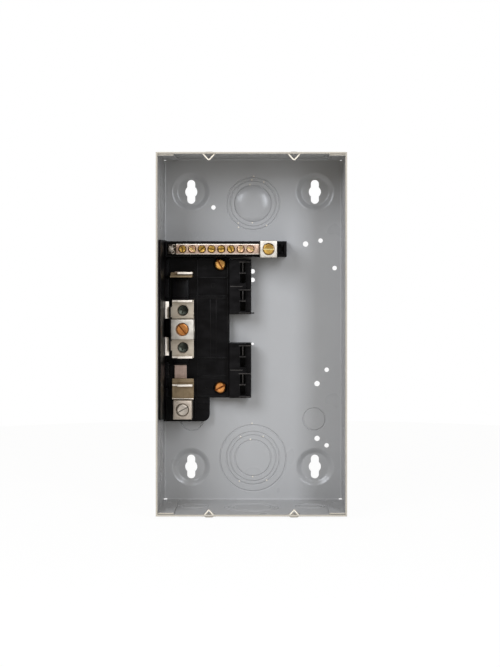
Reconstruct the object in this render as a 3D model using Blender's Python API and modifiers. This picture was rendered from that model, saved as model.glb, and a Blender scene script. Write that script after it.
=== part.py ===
"""A small indoor load-centre box with its breaker interior, ready to be fixed to a wall.

The box is one folded steel sheet, open at the front. The interior is a moulded base on its left side,
with two crossing bus bars that give four plug-on blades a pole pitch apart, two line lugs, two rails
that the breakers hook on, and a neutral bar in its own carrier across the top.

Frame: metres, +Z up, +X to the right of somebody who faces the open front, and -Y out of the front.
The origin is the middle of the wall plane, which the four pressed mounting pads touch.
A "height" in this file is a distance in front of the back panel's inner face.
"""

import math

import bmesh
import bpy
from mathutils import Matrix, Vector

MM = 0.001

# ---- Enclosure -------------------------------------------------------------------------------------
BOX_WIDTH = 166.7 * MM
BOX_HEIGHT = 317.5 * MM
BOX_DEPTH = 88.9 * MM  # rear face of the back panel to the front rim
SHEET = 1.5 * MM
BEND_RADIUS = 2.4 * MM  # outside radius of the folds round the back panel

PAD_STANDOFF = 2.5 * MM  # how far the mounting pads stand behind the back panel
PAD_RADIUS = 16.5 * MM
PAD_FLAT_RADIUS = 12.5 * MM
PAD_LIP = 1.0 * MM  # width of a pad's rim that is sunk in the panel
PAD_FROM_SIDE = 26.2 * MM  # from the left or right of the box to a pad's centre
PAD_FROM_END = 31.75 * MM  # from the top or bottom of the box to a pad's centre
KEYHOLE_RADIUS = 5.6 * MM
KEYHOLE_SLOT_RADIUS = 3.7 * MM
KEYHOLE_HALF_LENGTH = 11.0 * MM

# Corner notches: reach in from the side wall, reach in from the end wall, and height up the walls
TOP_NOTCH = (1.65 * MM, 1.45 * MM, 3.0 * MM)
BOTTOM_NOTCH = (2.65 * MM, 1.25 * MM, 7.5 * MM)
TAB_WIDTH = 14.0 * MM  # welded tabs that close the corners
TAB_CLEAR_OF_BACK = 8.0 * MM
STRIP_SHARE = 0.8  # thickness of a pressed strip or a welded tab, as a share of the sheet

COVER_BOSS_X = 37.2 * MM
COVER_BOSS_WIDTH = 11.4 * MM
COVER_BOSS_LENGTH = 4.0 * MM
COVER_BOSS_RISE = 5.6 * MM
COVER_BOSS_BULGE = 1.7 * MM
COVER_BOSS_FROM_RIM = 1.3 * MM

# Knockout radii, by the conduit size that they are for
HALF_INCH = 11.1 * MM
THREE_QUARTER_INCH = 14.1 * MM
INCH_AND_HALF = 25.2 * MM
TWO_INCH = 31.35 * MM
GROOVE_WIDTH = 0.6 * MM
GROOVE_DEPTH = 0.5 * MM
TOP_KNOCKOUT_FROM_END = 42.6 * MM
BOTTOM_KNOCKOUT_FROM_END = 39.8 * MM
SMALL_KNOCKOUT_FROM_END = 75.8 * MM
SMALL_KNOCKOUT_FROM_SIDE = 26.75 * MM
END_KNOCKOUT_X = 52.6 * MM
END_KNOCKOUT_HEIGHT = 37.0 * MM
WALL_KNOCKOUT_HEIGHT = 44.0 * MM
SIDE_KNOCKOUT_FROM_END = 49.7 * MM

# Round holes in the back panel, for earth bars, clips and other interiors
ACCESSORY_HOLE_RADIUS = 2.5 * MM
PILOT_HOLE_RADIUS = 2.1 * MM
SMALL_HOLE_RADIUS = 1.2 * MM
LEFT_HOLE = (45.3 * MM, 46.2 * MM, PILOT_HOLE_RADIUS)  # from the left wall, from the top, radius
HOLES_FROM_TOP = (  # from the right side, from the top, radius
    (34.8 * MM, 80.0 * MM, ACCESSORY_HOLE_RADIUS),
    (21.0 * MM, 76.8 * MM, PILOT_HOLE_RADIUS),
    (8.0 * MM, 102.2 * MM, PILOT_HOLE_RADIUS),
)
HOLES_FROM_BOTTOM = (  # from the right side, from the bottom, radius
    (24.2 * MM, 108.6 * MM, ACCESSORY_HOLE_RADIUS),
    (15.3 * MM, 121.4 * MM, PILOT_HOLE_RADIUS),
    (24.2 * MM, 58.0 * MM, ACCESSORY_HOLE_RADIUS),
    (15.4 * MM, 51.6 * MM, PILOT_HOLE_RADIUS),
)
HOLES_BESIDE_RAILS = (  # above the interior's middle, radius
    (51.9 * MM, PILOT_HOLE_RADIUS),
    (44.0 * MM, PILOT_HOLE_RADIUS),
    (-15.0 * MM, SMALL_HOLE_RADIUS),
)
HOLES_BEYOND_RAILS = 1.1 * MM  # from the rails' right side to the middle of those holes

# ---- Interior: where it sits -----------------------------------------------------------------------
GAP = 0.3 * MM  # between pieces that touch
RUNNING_GAP = 0.3 * MM  # between a terminal screw and its hole
SINK = 0.1 * MM  # inset of a joined shape, so that no two faces share a plane
OVER = 1.0 * MM  # how far a cutter or a joined shape passes a face
POLE_PITCH = 25.4 * MM
INTERIOR_RISE = 1.6 * MM  # middle of the interior above the middle of the box
BUS_FROM_WALL = 18.6 * MM  # bus bars' centreline from the left wall's inner face

# ---- Moulded base ----------------------------------------------------------------------------------
DECK_HEIGHT = 12.0 * MM
BASE_WALL = 2.5 * MM
BASE_WIDTH = 60.0 * MM
BASE_ABOVE_POLES = 1.4 * MM  # from the upper edge of pole 1's space to the base's
BASE_BELOW_POLES = 0.1 * MM  # from the lower edge of pole 4's space to the base's
LUG_SHELF_WIDTH = 41.8 * MM
LUG_SHELF_LENGTH = 21.8 * MM
LUG_SHELF_CORNER = 6.0 * MM
BARRIER_THICKNESS = 2.0 * MM
BARRIER_BELOW_RIM = 8.5 * MM
POCKET_DEPTH = 1.25 * MM
POCKET_FROM_BLADE = 7.5 * MM  # from poles 1 and 4 to the deck's sunk fields
POCKET_PAST_BLADE = 3.2 * MM  # from poles 2 and 3 to them
POCKET_FROM_BUS = 2.0 * MM
POCKET_FROM_EDGE = 3.0 * MM
LEDGE_HEIGHT = 22.0 * MM
LEDGE_WIDTH = 4.2 * MM
BRIDGE_WIDTH = 1.8 * MM
BRIDGE_HEIGHT = 31.0 * MM
RAIL_WIDTH = 19.8 * MM
RAIL_FLOOR = 6.0 * MM
RAIL_HEIGHT = 22.0 * MM
RAIL_END_GAP = 0.4 * MM  # a rail's end inside the outer edge of its poles
HOOK_WINDOW_WIDTH = 5.4 * MM
HOOK_WINDOW_LENGTH = 8.6 * MM
HOOK_WINDOW_DEPTH = 12.0 * MM
HOOK_WINDOW_FROM_EDGE = 4.6 * MM
HOOK_RIB = 1.6 * MM
HOOK_STEP_DEPTH = 3.0 * MM
RAIL_LIP = 2.7 * MM  # a thin lip at the foot of the upper rail
RAIL_LIP_THICKNESS = 1.2 * MM
RAIL_LIP_HEIGHT = 5.0 * MM
PEG_RADIUS = 2.0 * MM
PEG_LENGTH = 5.0 * MM
PEG_FROM_SIDE = 5.35 * MM
PEG_FROM_END = 10.0 * MM
BASE_SCREW_FROM_EDGE = 8.3 * MM
BASE_SCREW_IN_TOP = 5.1 * MM  # below the upper edge of pole 1's space
BASE_SCREW_IN_BOTTOM = 9.3 * MM  # above the lower edge of pole 4's space
BASE_SCREW_HEAD_RADIUS = 4.8 * MM
BASE_SCREW_HEAD = 3.0 * MM
BASE_SCREW_TURN = -35  # degrees, of the driver slot
BASE_SCREW_RADIUS = 2.2 * MM
BASE_PILLAR_RADIUS = 6.5 * MM

# ---- Bus bars --------------------------------------------------------------------------------------
BUS_THICKNESS = 2.0 * MM
CROSSOVER_WIDTH = 11.1 * MM
CROSSOVER_SHIFT = -2.8 * MM  # the crossover strip is left of the centreline
INSULATOR_THICKNESS = 2.4 * MM
TABLE_HEIGHT = 26.0 * MM  # top of the raised parts of both bus bars
TABLE_WIDTH = 19.8 * MM
BLADE_LENGTH = 20.4 * MM
BLADE_SHIFT = -1.2 * MM
BLADE_HEIGHT = 33.0 * MM
BLADE_LEAF = 2.2 * MM
BLADE_FOLD = 5.0 * MM  # overall thickness of a folded blade
BLADE_STEP = 6.8 * MM  # length of the blade's lower lead-in
LEAD_IN_DROP = 4.5 * MM  # height of the blade above its lead-in
FOLD_DROP = 6.0 * MM  # height of the blade above the fold between its leaves
LUG_GAP_HALF = 9.4 * MM  # half the space between the upper bus bar's two legs
FIXING_HOLE_RADIUS = 4.6 * MM
FIXING_HOLE_FROM_BLADE = 8.5 * MM
FIXING_HEAD_RADIUS = FIXING_HOLE_RADIUS - GAP
FIXING_HEAD_BELOW = 1.5 * MM  # below the table's top
FIXING_SHANK = 2.0 * MM
FIXING_BITE = 1.6 * MM
FIXING_RECESS = (5.0 * MM, 1.1 * MM)  # length and width of the cross recess
FIXING_RECESS_DEPTH = 2.5 * MM
LINE_TABLE_ABOVE = 5.8 * MM  # the lower bus bar's table, above and below pole 4
LINE_TABLE_BELOW = 13.0 * MM
INSULATOR_PAST_BLADE = 8.0 * MM  # below pole 3
INSULATOR_SKIRT = 1.5 * MM

# ---- Lugs and their screws -------------------------------------------------------------------------
LUG_WALL = 2.8 * MM
TONGUE_HEIGHT = 19.5 * MM
LINE_LUG_A_WIDTH = 17.1 * MM
LINE_LUG_A_LENGTH = 17.4 * MM
LINE_LUG_A_TOP = 34.0 * MM
LINE_LUG_A_ROOF = 4.6 * MM
LINE_SCREW_RADIUS = 5.4 * MM
LINE_LUG_B_WIDTH = 20.8 * MM
LINE_LUG_B_TOP = 36.0 * MM
LINE_LUG_B_BORE = 5.2 * MM
LINE_LUG_B_ROOF = 4.6 * MM
SCREW_SLOT = 1.3 * MM
SCREW_SLOT_DEPTH = 1.6 * MM
SCREW_PROUD = 1.2 * MM
LUG_SCREW_RADIUS = 2.0 * MM  # of the fixing screw under the solid lug
LUG_SCREW_HEAD_RADIUS = 3.4 * MM
LUG_SCREW_HEAD = 1.6 * MM
TONGUE_WIDTH = LINE_LUG_A_WIDTH - 2 * LUG_WALL - 2 * GAP
LINE_LUG_A_TURN, LINE_LUG_B_TURN = -28, 50  # degrees, of the driver slots
SCREW_TIP = 1.5 * MM  # how far a backed-out line screw still reaches into its wire way

# ---- Neutral bar -----------------------------------------------------------------------------------
CARRIER_LENGTH = 110.3 * MM
CARRIER_WIDTH = 14.4 * MM
CARRIER_ABOVE_POLES = 16.2 * MM  # from the upper edge of pole 1's space to the carrier's
CARRIER_FLOOR_HEIGHT = 26.7 * MM
CARRIER_LIP = 1.2 * MM
CARRIER_LIP_WIDTH = 1.9 * MM
CARRIER_END = 8.4 * MM
CARRIER_WALL = 2.2 * MM
NEUTRAL_BAR_WIDTH = 9.6 * MM
NEUTRAL_BAR_HEIGHT = 11.5 * MM
NEUTRAL_PITCH = 8.75 * MM
NEUTRAL_TERMINALS = 8
NEUTRAL_BAR_LEFT_END = 6.2 * MM  # from the first terminal to the bar's end
NEUTRAL_BAR_RIGHT_END = 8.5 * MM  # from the last terminal to the bar's end
NEUTRAL_FOOT = 7.6 * MM  # length of the bar's foot, which a screw holds to the carrier
NEUTRAL_FOOT_SCREW = 4.1 * MM  # from the bar's left end to that screw
NEUTRAL_WIRE_RADIUS = 3.05 * MM
NEUTRAL_WIRE_HEIGHT = 4.6 * MM  # wire holes' centre above the bar's underside
NEUTRAL_SCREW_RADIUS = 3.1 * MM
NEUTRAL_SCREW_TIP = 0.5 * MM
NEUTRAL_SCREW_PROUD = 1.4 * MM
NEUTRAL_LUG_SIZE = 15.3 * MM
NEUTRAL_LUG_TOP = 44.5 * MM
NEUTRAL_LUG_ROOF = 4.5 * MM
NEUTRAL_LUG_SCREW_RADIUS = 4.9 * MM
NEUTRAL_LUG_SCREW_TIP = 1.0 * MM
NEUTRAL_TONGUE = 2.5 * MM
NEUTRAL_TONGUE_RISE = 1.0 * MM
NEUTRAL_TURNS = (80, 35, -40, 10, -5, 65, -60, 25)  # degrees, of the driver slots
CARRIER_SCREW_RADIUS = 1.7 * MM
CARRIER_SCREW_HEAD_RADIUS = 3.1 * MM
CARRIER_SCREW_HEAD = 2.2 * MM
CARRIER_SCREW_BITE = 5.0 * MM

# ---- What follows from the sizes above -------------------------------------------------------------
LEFT = -BOX_WIDTH / 2 + SHEET  # inner face of the left wall
RIM = BOX_DEPTH - SHEET  # height of the front rim
BUS_X = LEFT + BUS_FROM_WALL
POLE_REACH = 2.5 * POLE_PITCH  # from the interior's middle to the outer edge of pole 1's or 4's space
RAIL_LENGTH = 2 * (POLE_PITCH - RAIL_END_GAP)
BASE_TOP = POLE_REACH + BASE_ABOVE_POLES  # above the interior's middle
BASE_BOTTOM = POLE_REACH + BASE_BELOW_POLES  # below it
BASE_SCREW_TOP = POLE_REACH - BASE_SCREW_IN_TOP
BASE_SCREW_BOTTOM = POLE_REACH - BASE_SCREW_IN_BOTTOM
CARRIER_TOP = POLE_REACH + CARRIER_ABOVE_POLES
BASE_LEFT = LEFT + GAP
BASE_RIGHT = BASE_LEFT + BASE_WIDTH
RAIL_RIGHT = BASE_RIGHT + GAP + RAIL_WIDTH
CROSSOVER_X = BUS_X + CROSSOVER_SHIFT
CROSSOVER_TOP = DECK_HEIGHT + GAP + BUS_THICKNESS
INSULATOR_TOP = CROSSOVER_TOP + GAP + INSULATOR_THICKNESS
SADDLE_TOP = INSULATOR_TOP + GAP + BUS_THICKNESS  # the upper bus bar's low middle part
TABLE_LEFT = BUS_X - TABLE_WIDTH / 2
BRIDGE_RIGHT = BUS_X - max(TABLE_WIDTH, LINE_LUG_B_WIDTH) / 2 - GAP
TAB_LEFT = BASE_LEFT + BARRIER_THICKNESS + GAP  # the upper bus bar reaches under the bridge to here
CARRIER_Z = INTERIOR_RISE + CARRIER_TOP - CARRIER_WIDTH / 2
CARRIER_LEFT = BASE_LEFT + BARRIER_THICKNESS + GAP
CARRIER_RIGHT = CARRIER_LEFT + CARRIER_LENGTH
BAR_LOW = CARRIER_FLOOR_HEIGHT + GAP
BAR_TOP = BAR_LOW + NEUTRAL_BAR_HEIGHT
LUG_RIGHT = CARRIER_RIGHT - CARRIER_END - GAP
LUG_LEFT = LUG_RIGHT - NEUTRAL_LUG_SIZE
BAR_RIGHT = LUG_LEFT - GAP
FIRST_TERMINAL_X = BAR_RIGHT - NEUTRAL_BAR_RIGHT_END - (NEUTRAL_TERMINALS - 1) * NEUTRAL_PITCH
BAR_LEFT = FIRST_TERMINAL_X - NEUTRAL_BAR_LEFT_END
CARRIER_SCREW_X = BAR_LEFT - NEUTRAL_FOOT_SCREW
TONGUE_LOW = BAR_LOW + NEUTRAL_TONGUE_RISE  # underside of the neutral bar's tongue and foot
TONGUE_TOP = TONGUE_LOW + NEUTRAL_TONGUE
LUG_X = (LUG_LEFT + LUG_RIGHT) / 2

ROUND_STEPS = 24
RING_STEPS = 20
AXIS_TURN = {
    "X": Matrix.Rotation(math.pi / 2, 4, "Y"),
    "Y": Matrix.Rotation(math.pi / 2, 4, "X"),
    "Z": Matrix.Identity(4),
}


def y_at(height):
    """The Y of a plane this far in front of the back panel's inner face."""
    return -(PAD_STANDOFF + SHEET + height)


def span(middle, length):
    return (middle - length / 2, middle + length / 2)


def pole_z(number):
    """Height on the wall of pole 1 to 4, counted from the top. A gap of one pole is left in the middle."""
    return INTERIOR_RISE + {1: 2, 2: 1, 3: -1, 4: -2}[number] * POLE_PITCH


# ---- Scene and materials ---------------------------------------------------------------------------
def clear_scene():
    for old in list(bpy.data.objects):
        bpy.data.objects.remove(old)


def collection(name):
    made = bpy.data.collections.new(name)
    bpy.context.scene.collection.children.link(made)
    return made


def material(name, color, roughness, metallic):
    made = bpy.data.materials.new(name)
    made.use_nodes = True
    shader = made.node_tree.nodes["Principled BSDF"]
    shader.inputs["Base Color"].default_value = (*color, 1.0)
    shader.inputs["Roughness"].default_value = roughness
    shader.inputs["Metallic"].default_value = metallic
    made.diffuse_color = (*color, 1.0)
    return made


clear_scene()
PARTS = collection("breaker_panel_box")
CUTTERS = collection("cutters")
CUTTERS.hide_render = True
GREY_PAINT = material("grey_paint", (0.31, 0.31, 0.30), 0.45, 0.0)
BLACK_PLASTIC = material("black_plastic", (0.012, 0.012, 0.013), 0.42, 0.0)
TINNED_ALUMINIUM = material("tinned_aluminium", (0.72, 0.71, 0.70), 0.35, 1.0)
LUG_ALUMINIUM = material("lug_aluminium", (0.78, 0.78, 0.79), 0.38, 1.0)
BRASS = material("brass_plate", (0.78, 0.56, 0.20), 0.28, 1.0)
COPPER = material("copper_plate", (0.80, 0.38, 0.16), 0.28, 1.0)
ZINC = material("zinc_plate", (0.62, 0.62, 0.63), 0.32, 1.0)
DARK_STEEL = material("dark_steel", (0.10, 0.10, 0.09), 0.40, 1.0)


# ---- Modelling helpers -----------------------------------------------------------------------------
def add_box(bm, x, z, height):
    """A box between pairs of X, Z and height. Returns its vertices."""
    size = Vector((x[1] - x[0], height[1] - height[0], z[1] - z[0]))
    centre = Vector((sum(x) / 2, y_at(sum(height) / 2), sum(z) / 2))
    place = Matrix.Translation(centre) @ Matrix.Diagonal(size.to_4d())
    return bmesh.ops.create_cube(bm, size=1, matrix=place)["verts"]


def add_rod(bm, centre, length, radius, axis="Y", steps=ROUND_STEPS):
    place = Matrix.Translation(centre) @ AXIS_TURN[axis]
    bmesh.ops.create_cone(
        bm, cap_ends=True, segments=steps, radius1=radius, radius2=radius, depth=length, matrix=place
    )


def add_upright(bm, x, z, height, radius, steps=ROUND_STEPS):
    """A rod that stands on the back panel, between a pair of heights."""
    centre = Vector((x, y_at(sum(height) / 2), z))
    add_rod(bm, centre, height[1] - height[0], radius, "Y", steps)


def make(name, bm, finish, group=None, pivot=None):
    """Turns a bmesh in the part's frame into an object with its origin at the pivot, or at its middle."""
    corners = [v.co for v in bm.verts]
    middle = sum((Vector(c) for c in corners), Vector()) / len(corners)
    origin = Vector(pivot) if pivot else middle
    bmesh.ops.translate(bm, verts=bm.verts, vec=-origin)
    mesh = bpy.data.meshes.new(name)
    bm.to_mesh(mesh)
    bm.free()
    mesh.shade_smooth()
    mesh.set_sharp_from_angle(angle=math.radians(35))
    if finish:
        mesh.materials.append(finish)
    made = bpy.data.objects.new(name, mesh)
    made.location = origin
    (group or PARTS).objects.link(made)
    return made


def combine(target, other, operation):
    """Cuts the other object from the target, or joins it on, and keeps the other as a hidden guide."""
    for old in list(other.users_collection):
        old.objects.unlink(other)
    CUTTERS.objects.link(other)
    other.hide_render = True
    other.display_type = "WIRE"
    boolean = target.modifiers.new(other.name, "BOOLEAN")
    boolean.operation = operation
    boolean.solver = "EXACT"
    boolean.object = other


def cut(target, name, *builders):
    """Cuts shapes that don't meet each other from the target. Each builder adds its shape to a bmesh."""
    bm = bmesh.new()
    for build in builders:
        build(bm)
    combine(target, make(name, bm, None, CUTTERS), "DIFFERENCE")


def join(target, name, *builders):
    bm = bmesh.new()
    for build in builders:
        build(bm)
    combine(target, make(name, bm, None, CUTTERS), "UNION")


def turned(name, profile, x, z, group, steps=ROUND_STEPS):
    """A profile of (radius, height) points, from the front down its outside, turned about a line along Y."""
    bm = bmesh.new()
    points = [bm.verts.new((radius, 0, height)) for radius, height in profile]
    for first, second in zip(points, points[1:] + points[:1]):
        bm.edges.new((first, second))
    mesh = bpy.data.meshes.new(name)
    bm.to_mesh(mesh)
    bm.free()
    made = bpy.data.objects.new(name, mesh)
    made.location = (x, y_at(0), z)
    made.rotation_euler = (math.pi / 2, math.pi / steps, 0)  # the second turn keeps its corners off others
    screw = made.modifiers.new("turn", "SCREW")
    screw.steps = screw.render_steps = steps
    screw.use_merge_vertices = True
    screw.merge_threshold = 0.00001
    screw.use_smooth_shade = True
    group.objects.link(made)
    return made


def box_piece(name, finish, x, z, height):
    bm = bmesh.new()
    add_box(bm, x, z, height)
    return make(name, bm, finish)


# ---- Enclosure -------------------------------------------------------------------------------------
def folded_sheet():
    """Five walls folded from one sheet, with a radius round the back panel."""
    bm = bmesh.new()
    add_box(bm, span(0, BOX_WIDTH), span(0, BOX_HEIGHT), (-SHEET, RIM))
    front = [f for f in bm.faces if f.normal.y < -0.5]
    bmesh.ops.delete(bm, geom=front, context="FACES_ONLY")
    back = next(f for f in bm.faces if f.normal.y > 0.5)
    bmesh.ops.bevel(
        bm, geom=list(back.edges), offset=BEND_RADIUS, offset_type="OFFSET", segments=3,
        profile=0.5, affect="EDGES", material=-1,
    )
    box = make("enclosure", bm, GREY_PAINT, pivot=(0, 0, 0))
    wall = box.modifiers.new("sheet", "SOLIDIFY")
    wall.thickness = SHEET
    wall.offset = -1
    wall.use_even_offset = True
    return box


def pad_places():
    z = BOX_HEIGHT / 2 - PAD_FROM_END
    return [(sx * (BOX_WIDTH / 2 - PAD_FROM_SIDE), sz * z) for sz in (1, -1) for sx in (-1, 1)]


def ring_groove(centre, radius, axis):
    """Builds the shear line of a knockout, as a ring that is half sunk in the wall's inner face."""
    def build(bm):
        place = Matrix.Translation(centre) @ AXIS_TURN[axis]
        rims = [
            bmesh.ops.create_circle(bm, cap_ends=False, segments=RING_STEPS, radius=r, matrix=place)["verts"]
            for r in (radius, radius - GROOVE_WIDTH)
        ]
        edges = list({e for rim in rims for v in rim for e in v.link_edges})
        flat = bmesh.ops.bridge_loops(bm, edges=edges)["faces"]
        spindle = place.to_3x3() @ Vector((0, 0, GROOVE_DEPTH))
        bmesh.ops.translate(bm, verts=[v for rim in rims for v in rim], vec=-spindle)
        raised = bmesh.ops.extrude_face_region(bm, geom=flat, use_keep_orig=True)["geom"]
        top = [v for v in raised if isinstance(v, bmesh.types.BMVert)]
        bmesh.ops.translate(bm, verts=top, vec=2 * spindle)
        whole = {f for rim in rims for v in rim for f in v.link_faces}
        whole |= {f for v in top for f in v.link_faces}
        bmesh.ops.recalc_face_normals(bm, faces=list(whole))
    return build


def knockouts():
    """(middle on the wall's inner face, radius, axis) of every knockout's outer shear line."""
    top = BOX_HEIGHT / 2 - TOP_KNOCKOUT_FROM_END
    bottom = -BOX_HEIGHT / 2 + BOTTOM_KNOCKOUT_FROM_END
    small = -BOX_HEIGHT / 2 + SMALL_KNOCKOUT_FROM_END
    found = [
        (Vector((0, y_at(0), top)), INCH_AND_HALF, "Y"),
        (Vector((0, y_at(0), bottom)), TWO_INCH, "Y"),
        (Vector((-(BOX_WIDTH / 2 - SMALL_KNOCKOUT_FROM_SIDE), y_at(0), small)), HALF_INCH, "Y"),
        (Vector(((BOX_WIDTH / 2 - SMALL_KNOCKOUT_FROM_SIDE), y_at(0), small)), HALF_INCH, "Y"),
    ]
    for side in (-1, 1):
        end = side * (BOX_HEIGHT / 2 - SHEET)
        wall = side * (BOX_WIDTH / 2 - SHEET)
        found.append((Vector((0, y_at(WALL_KNOCKOUT_HEIGHT), end)), INCH_AND_HALF, "Z"))
        for x in (-END_KNOCKOUT_X, END_KNOCKOUT_X):
            found.append((Vector((x, y_at(END_KNOCKOUT_HEIGHT), end)), THREE_QUARTER_INCH, "Z"))
        for z in (top, -BOX_HEIGHT / 2 + SIDE_KNOCKOUT_FROM_END):
            found.append((Vector((wall, y_at(WALL_KNOCKOUT_HEIGHT), z)), INCH_AND_HALF, "X"))
    return found


def panel_holes():
    """(x, z, radius) of the round holes in the back panel."""
    end, right = BOX_HEIGHT / 2, BOX_WIDTH / 2
    beside = RAIL_RIGHT + HOLES_BEYOND_RAILS
    return [
        (LEFT + LEFT_HOLE[0], end - LEFT_HOLE[1], LEFT_HOLE[2]),
        *((right - across, end - down, radius) for across, down, radius in HOLES_FROM_TOP),
        *((right - across, up - end, radius) for across, up, radius in HOLES_FROM_BOTTOM),
        *((beside, INTERIOR_RISE + up, radius) for up, radius in HOLES_BESIDE_RAILS),
    ]


def base_screw_places():
    x = BASE_RIGHT - BASE_SCREW_FROM_EDGE
    return {"upper": (x, INTERIOR_RISE + BASE_SCREW_TOP), "lower": (x, INTERIOR_RISE - BASE_SCREW_BOTTOM)}


def corner_notches(bm):
    """The relief at each rear corner, where three folds would meet."""
    for side in (-1, 1):
        for end, (reach_x, reach_z, rise) in ((1, TOP_NOTCH), (-1, BOTTOM_NOTCH)):
            outer_x, outer_z = side * (BOX_WIDTH / 2 + SHEET), end * (BOX_HEIGHT / 2 + SHEET)
            inner_x = side * (BOX_WIDTH / 2 - SHEET - reach_x)
            inner_z = end * (BOX_HEIGHT / 2 - SHEET - reach_z)
            add_box(bm, sorted((outer_x, inner_x)), sorted((outer_z, inner_z)), (-2 * SHEET, rise))


def add_corner_tab(bm, side, end):
    """A tab of the side wall that is folded in and welded to the end wall's inner face."""
    root = side * (BOX_WIDTH / 2 - SHEET / 2)
    tip = side * (BOX_WIDTH / 2 - SHEET - TAB_WIDTH)
    outer = end * (BOX_HEIGHT / 2 - SHEET * STRIP_SHARE)
    inner = end * (BOX_HEIGHT / 2 - 2 * SHEET)
    add_box(bm, sorted((root, tip)), sorted((outer, inner)), (TAB_CLEAR_OF_BACK, RIM - SHEET))


def add_cover_boss(bm, x, end):
    """Two strips of the end wall, one pressed in as a V and one pressed out, that grip a cover screw."""
    wall = end * (BOX_HEIGHT - SHEET) / 2
    thickness = STRIP_SHARE * SHEET
    near = RIM - COVER_BOSS_FROM_RIM
    strips = (
        (near - COVER_BOSS_LENGTH, near, -end * COVER_BOSS_RISE, (0.5,)),
        (near - 2 * COVER_BOSS_LENGTH - GAP, near - COVER_BOSS_LENGTH - GAP, end * COVER_BOSS_BULGE,
         (0.3, 0.7)),
    )
    for low, high, move, shares in strips:
        verts = add_box(bm, span(x, COVER_BOSS_WIDTH), span(wall, thickness), (low, high))
        for share in shares:
            plane_x = x + (share - 0.5) * COVER_BOSS_WIDTH
            touched = {f for v in verts for f in v.link_faces}
            edges = {e for f in touched for e in f.edges}
            made = bmesh.ops.bisect_plane(
                bm, geom=[*verts, *edges, *touched], plane_co=(plane_x, 0, 0), plane_no=(1, 0, 0)
            )
            ridge = [v for v in made["geom_cut"] if isinstance(v, bmesh.types.BMVert)]
            bmesh.ops.translate(bm, verts=ridge, vec=(0, 0, move))
            verts = [*verts, *ridge]


def boss_windows(bm):
    """The openings in the end walls that the pressed strips leave."""
    for end in (-1, 1):
        wall = end * (BOX_HEIGHT - SHEET) / 2
        for x in (-COVER_BOSS_X, COVER_BOSS_X):
            high = RIM - COVER_BOSS_FROM_RIM
            add_box(
                bm, span(x, COVER_BOSS_WIDTH - 2 * SHEET), span(wall, 3 * SHEET),
                (high - 2 * COVER_BOSS_LENGTH, high - GAP),
            )


def enclosure():
    box = folded_sheet()
    holes = [*panel_holes(), *((x, z, BASE_SCREW_RADIUS + GAP) for x, z in base_screw_places().values())]
    through = (-3 * SHEET, 3 * SHEET)
    cut(
        box, "enclosure_cuts", corner_notches, boss_windows,
        *(lambda bm, h=h: add_upright(bm, h[0], h[1], through, h[2], 12) for h in holes),
        *(lambda bm, p=p: add_upright(bm, *p, through, PAD_RADIUS - PAD_LIP / 2) for p in pad_places()),
        *(ring_groove(*knockout) for knockout in knockouts()),
    )
    bm = bmesh.new()
    for side in (-1, 1):
        for end in (-1, 1):
            add_corner_tab(bm, side, end)
            add_cover_boss(bm, side * COVER_BOSS_X, end)
    combine(box, make("enclosure_strips", bm, None, CUTTERS), "UNION")
    # A pad is the sheet drawn back round a flat, and its thin rim is sunk in the panel's edge.
    skin = SHEET / 5
    profile = [
        (PAD_FLAT_RADIUS, -PAD_STANDOFF), (PAD_RADIUS - PAD_LIP, -skin), (PAD_RADIUS, -skin),
        (PAD_RADIUS, skin - SHEET), (PAD_RADIUS - PAD_LIP, skin - SHEET),
        (PAD_FLAT_RADIUS, -PAD_STANDOFF - SHEET), (0, -PAD_STANDOFF - SHEET), (0, -PAD_STANDOFF),
    ]
    for number, (x, z) in enumerate(pad_places(), 1):
        combine(box, turned(f"pad_{number}", profile, x, z, CUTTERS), "UNION")
    rear = (-PAD_STANDOFF - 3 * SHEET, SHEET)
    offset = KEYHOLE_HALF_LENGTH - KEYHOLE_SLOT_RADIUS
    for number, (x, z) in enumerate(pad_places(), 1):
        cut(box, f"keyhole_slot_{number}", lambda bm, x=x, z=z: add_slot(bm, x, z, offset, rear))
        cut(box, f"keyhole_round_{number}", lambda bm, x=x, z=z: add_upright(
            bm, x, z, rear, KEYHOLE_RADIUS, 20))


def add_slot(bm, x, z, offset, height):
    """An upright slot with round ends: a box whose short ends are bevelled to half circles."""
    verts = add_box(
        bm, span(x, 2 * KEYHOLE_SLOT_RADIUS), span(z, 2 * (offset + KEYHOLE_SLOT_RADIUS)), height
    )
    upright = {
        e for v in verts for e in v.link_edges
        if abs(e.verts[0].co.y - e.verts[1].co.y) > abs(height[1] - height[0]) / 2
    }
    bmesh.ops.bevel(
        bm, geom=list(upright), offset=KEYHOLE_SLOT_RADIUS * 0.98, offset_type="OFFSET", segments=5,
        profile=0.5, affect="EDGES", material=-1,
    )


# ---- Interior base and rails -----------------------------------------------------------------------
def base_outline(bm, height):
    """The base's deck and the shelf below it for the line lug, with the shelf's outer corner rounded."""
    top, bottom = INTERIOR_RISE + BASE_TOP, INTERIOR_RISE - BASE_BOTTOM
    add_box(bm, (BASE_LEFT, BASE_RIGHT), (bottom, top), height)


def add_shelf(bm, inset, height):
    bottom = INTERIOR_RISE - BASE_BOTTOM
    verts = add_box(
        bm, (BASE_LEFT + inset, BASE_LEFT + LUG_SHELF_WIDTH - inset),
        (bottom - LUG_SHELF_LENGTH + inset, bottom + 2 * BASE_WALL), height,
    )
    corner = [
        e for v in verts for e in v.link_edges
        if all(w.co.x > BASE_LEFT + LUG_SHELF_WIDTH / 2 and w.co.z < bottom for w in e.verts)
    ]
    bmesh.ops.bevel(
        bm, geom=list(set(corner)), offset=LUG_SHELF_CORNER - inset, offset_type="OFFSET", segments=5,
        profile=0.5, affect="EDGES", material=-1,
    )


def rail_span(upper):
    """Where a breaker rail lies, between the outer edges of its two poles."""
    middle = (pole_z(1) + pole_z(2)) / 2 if upper else (pole_z(3) + pole_z(4)) / 2
    return span(middle, RAIL_LENGTH)


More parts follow.
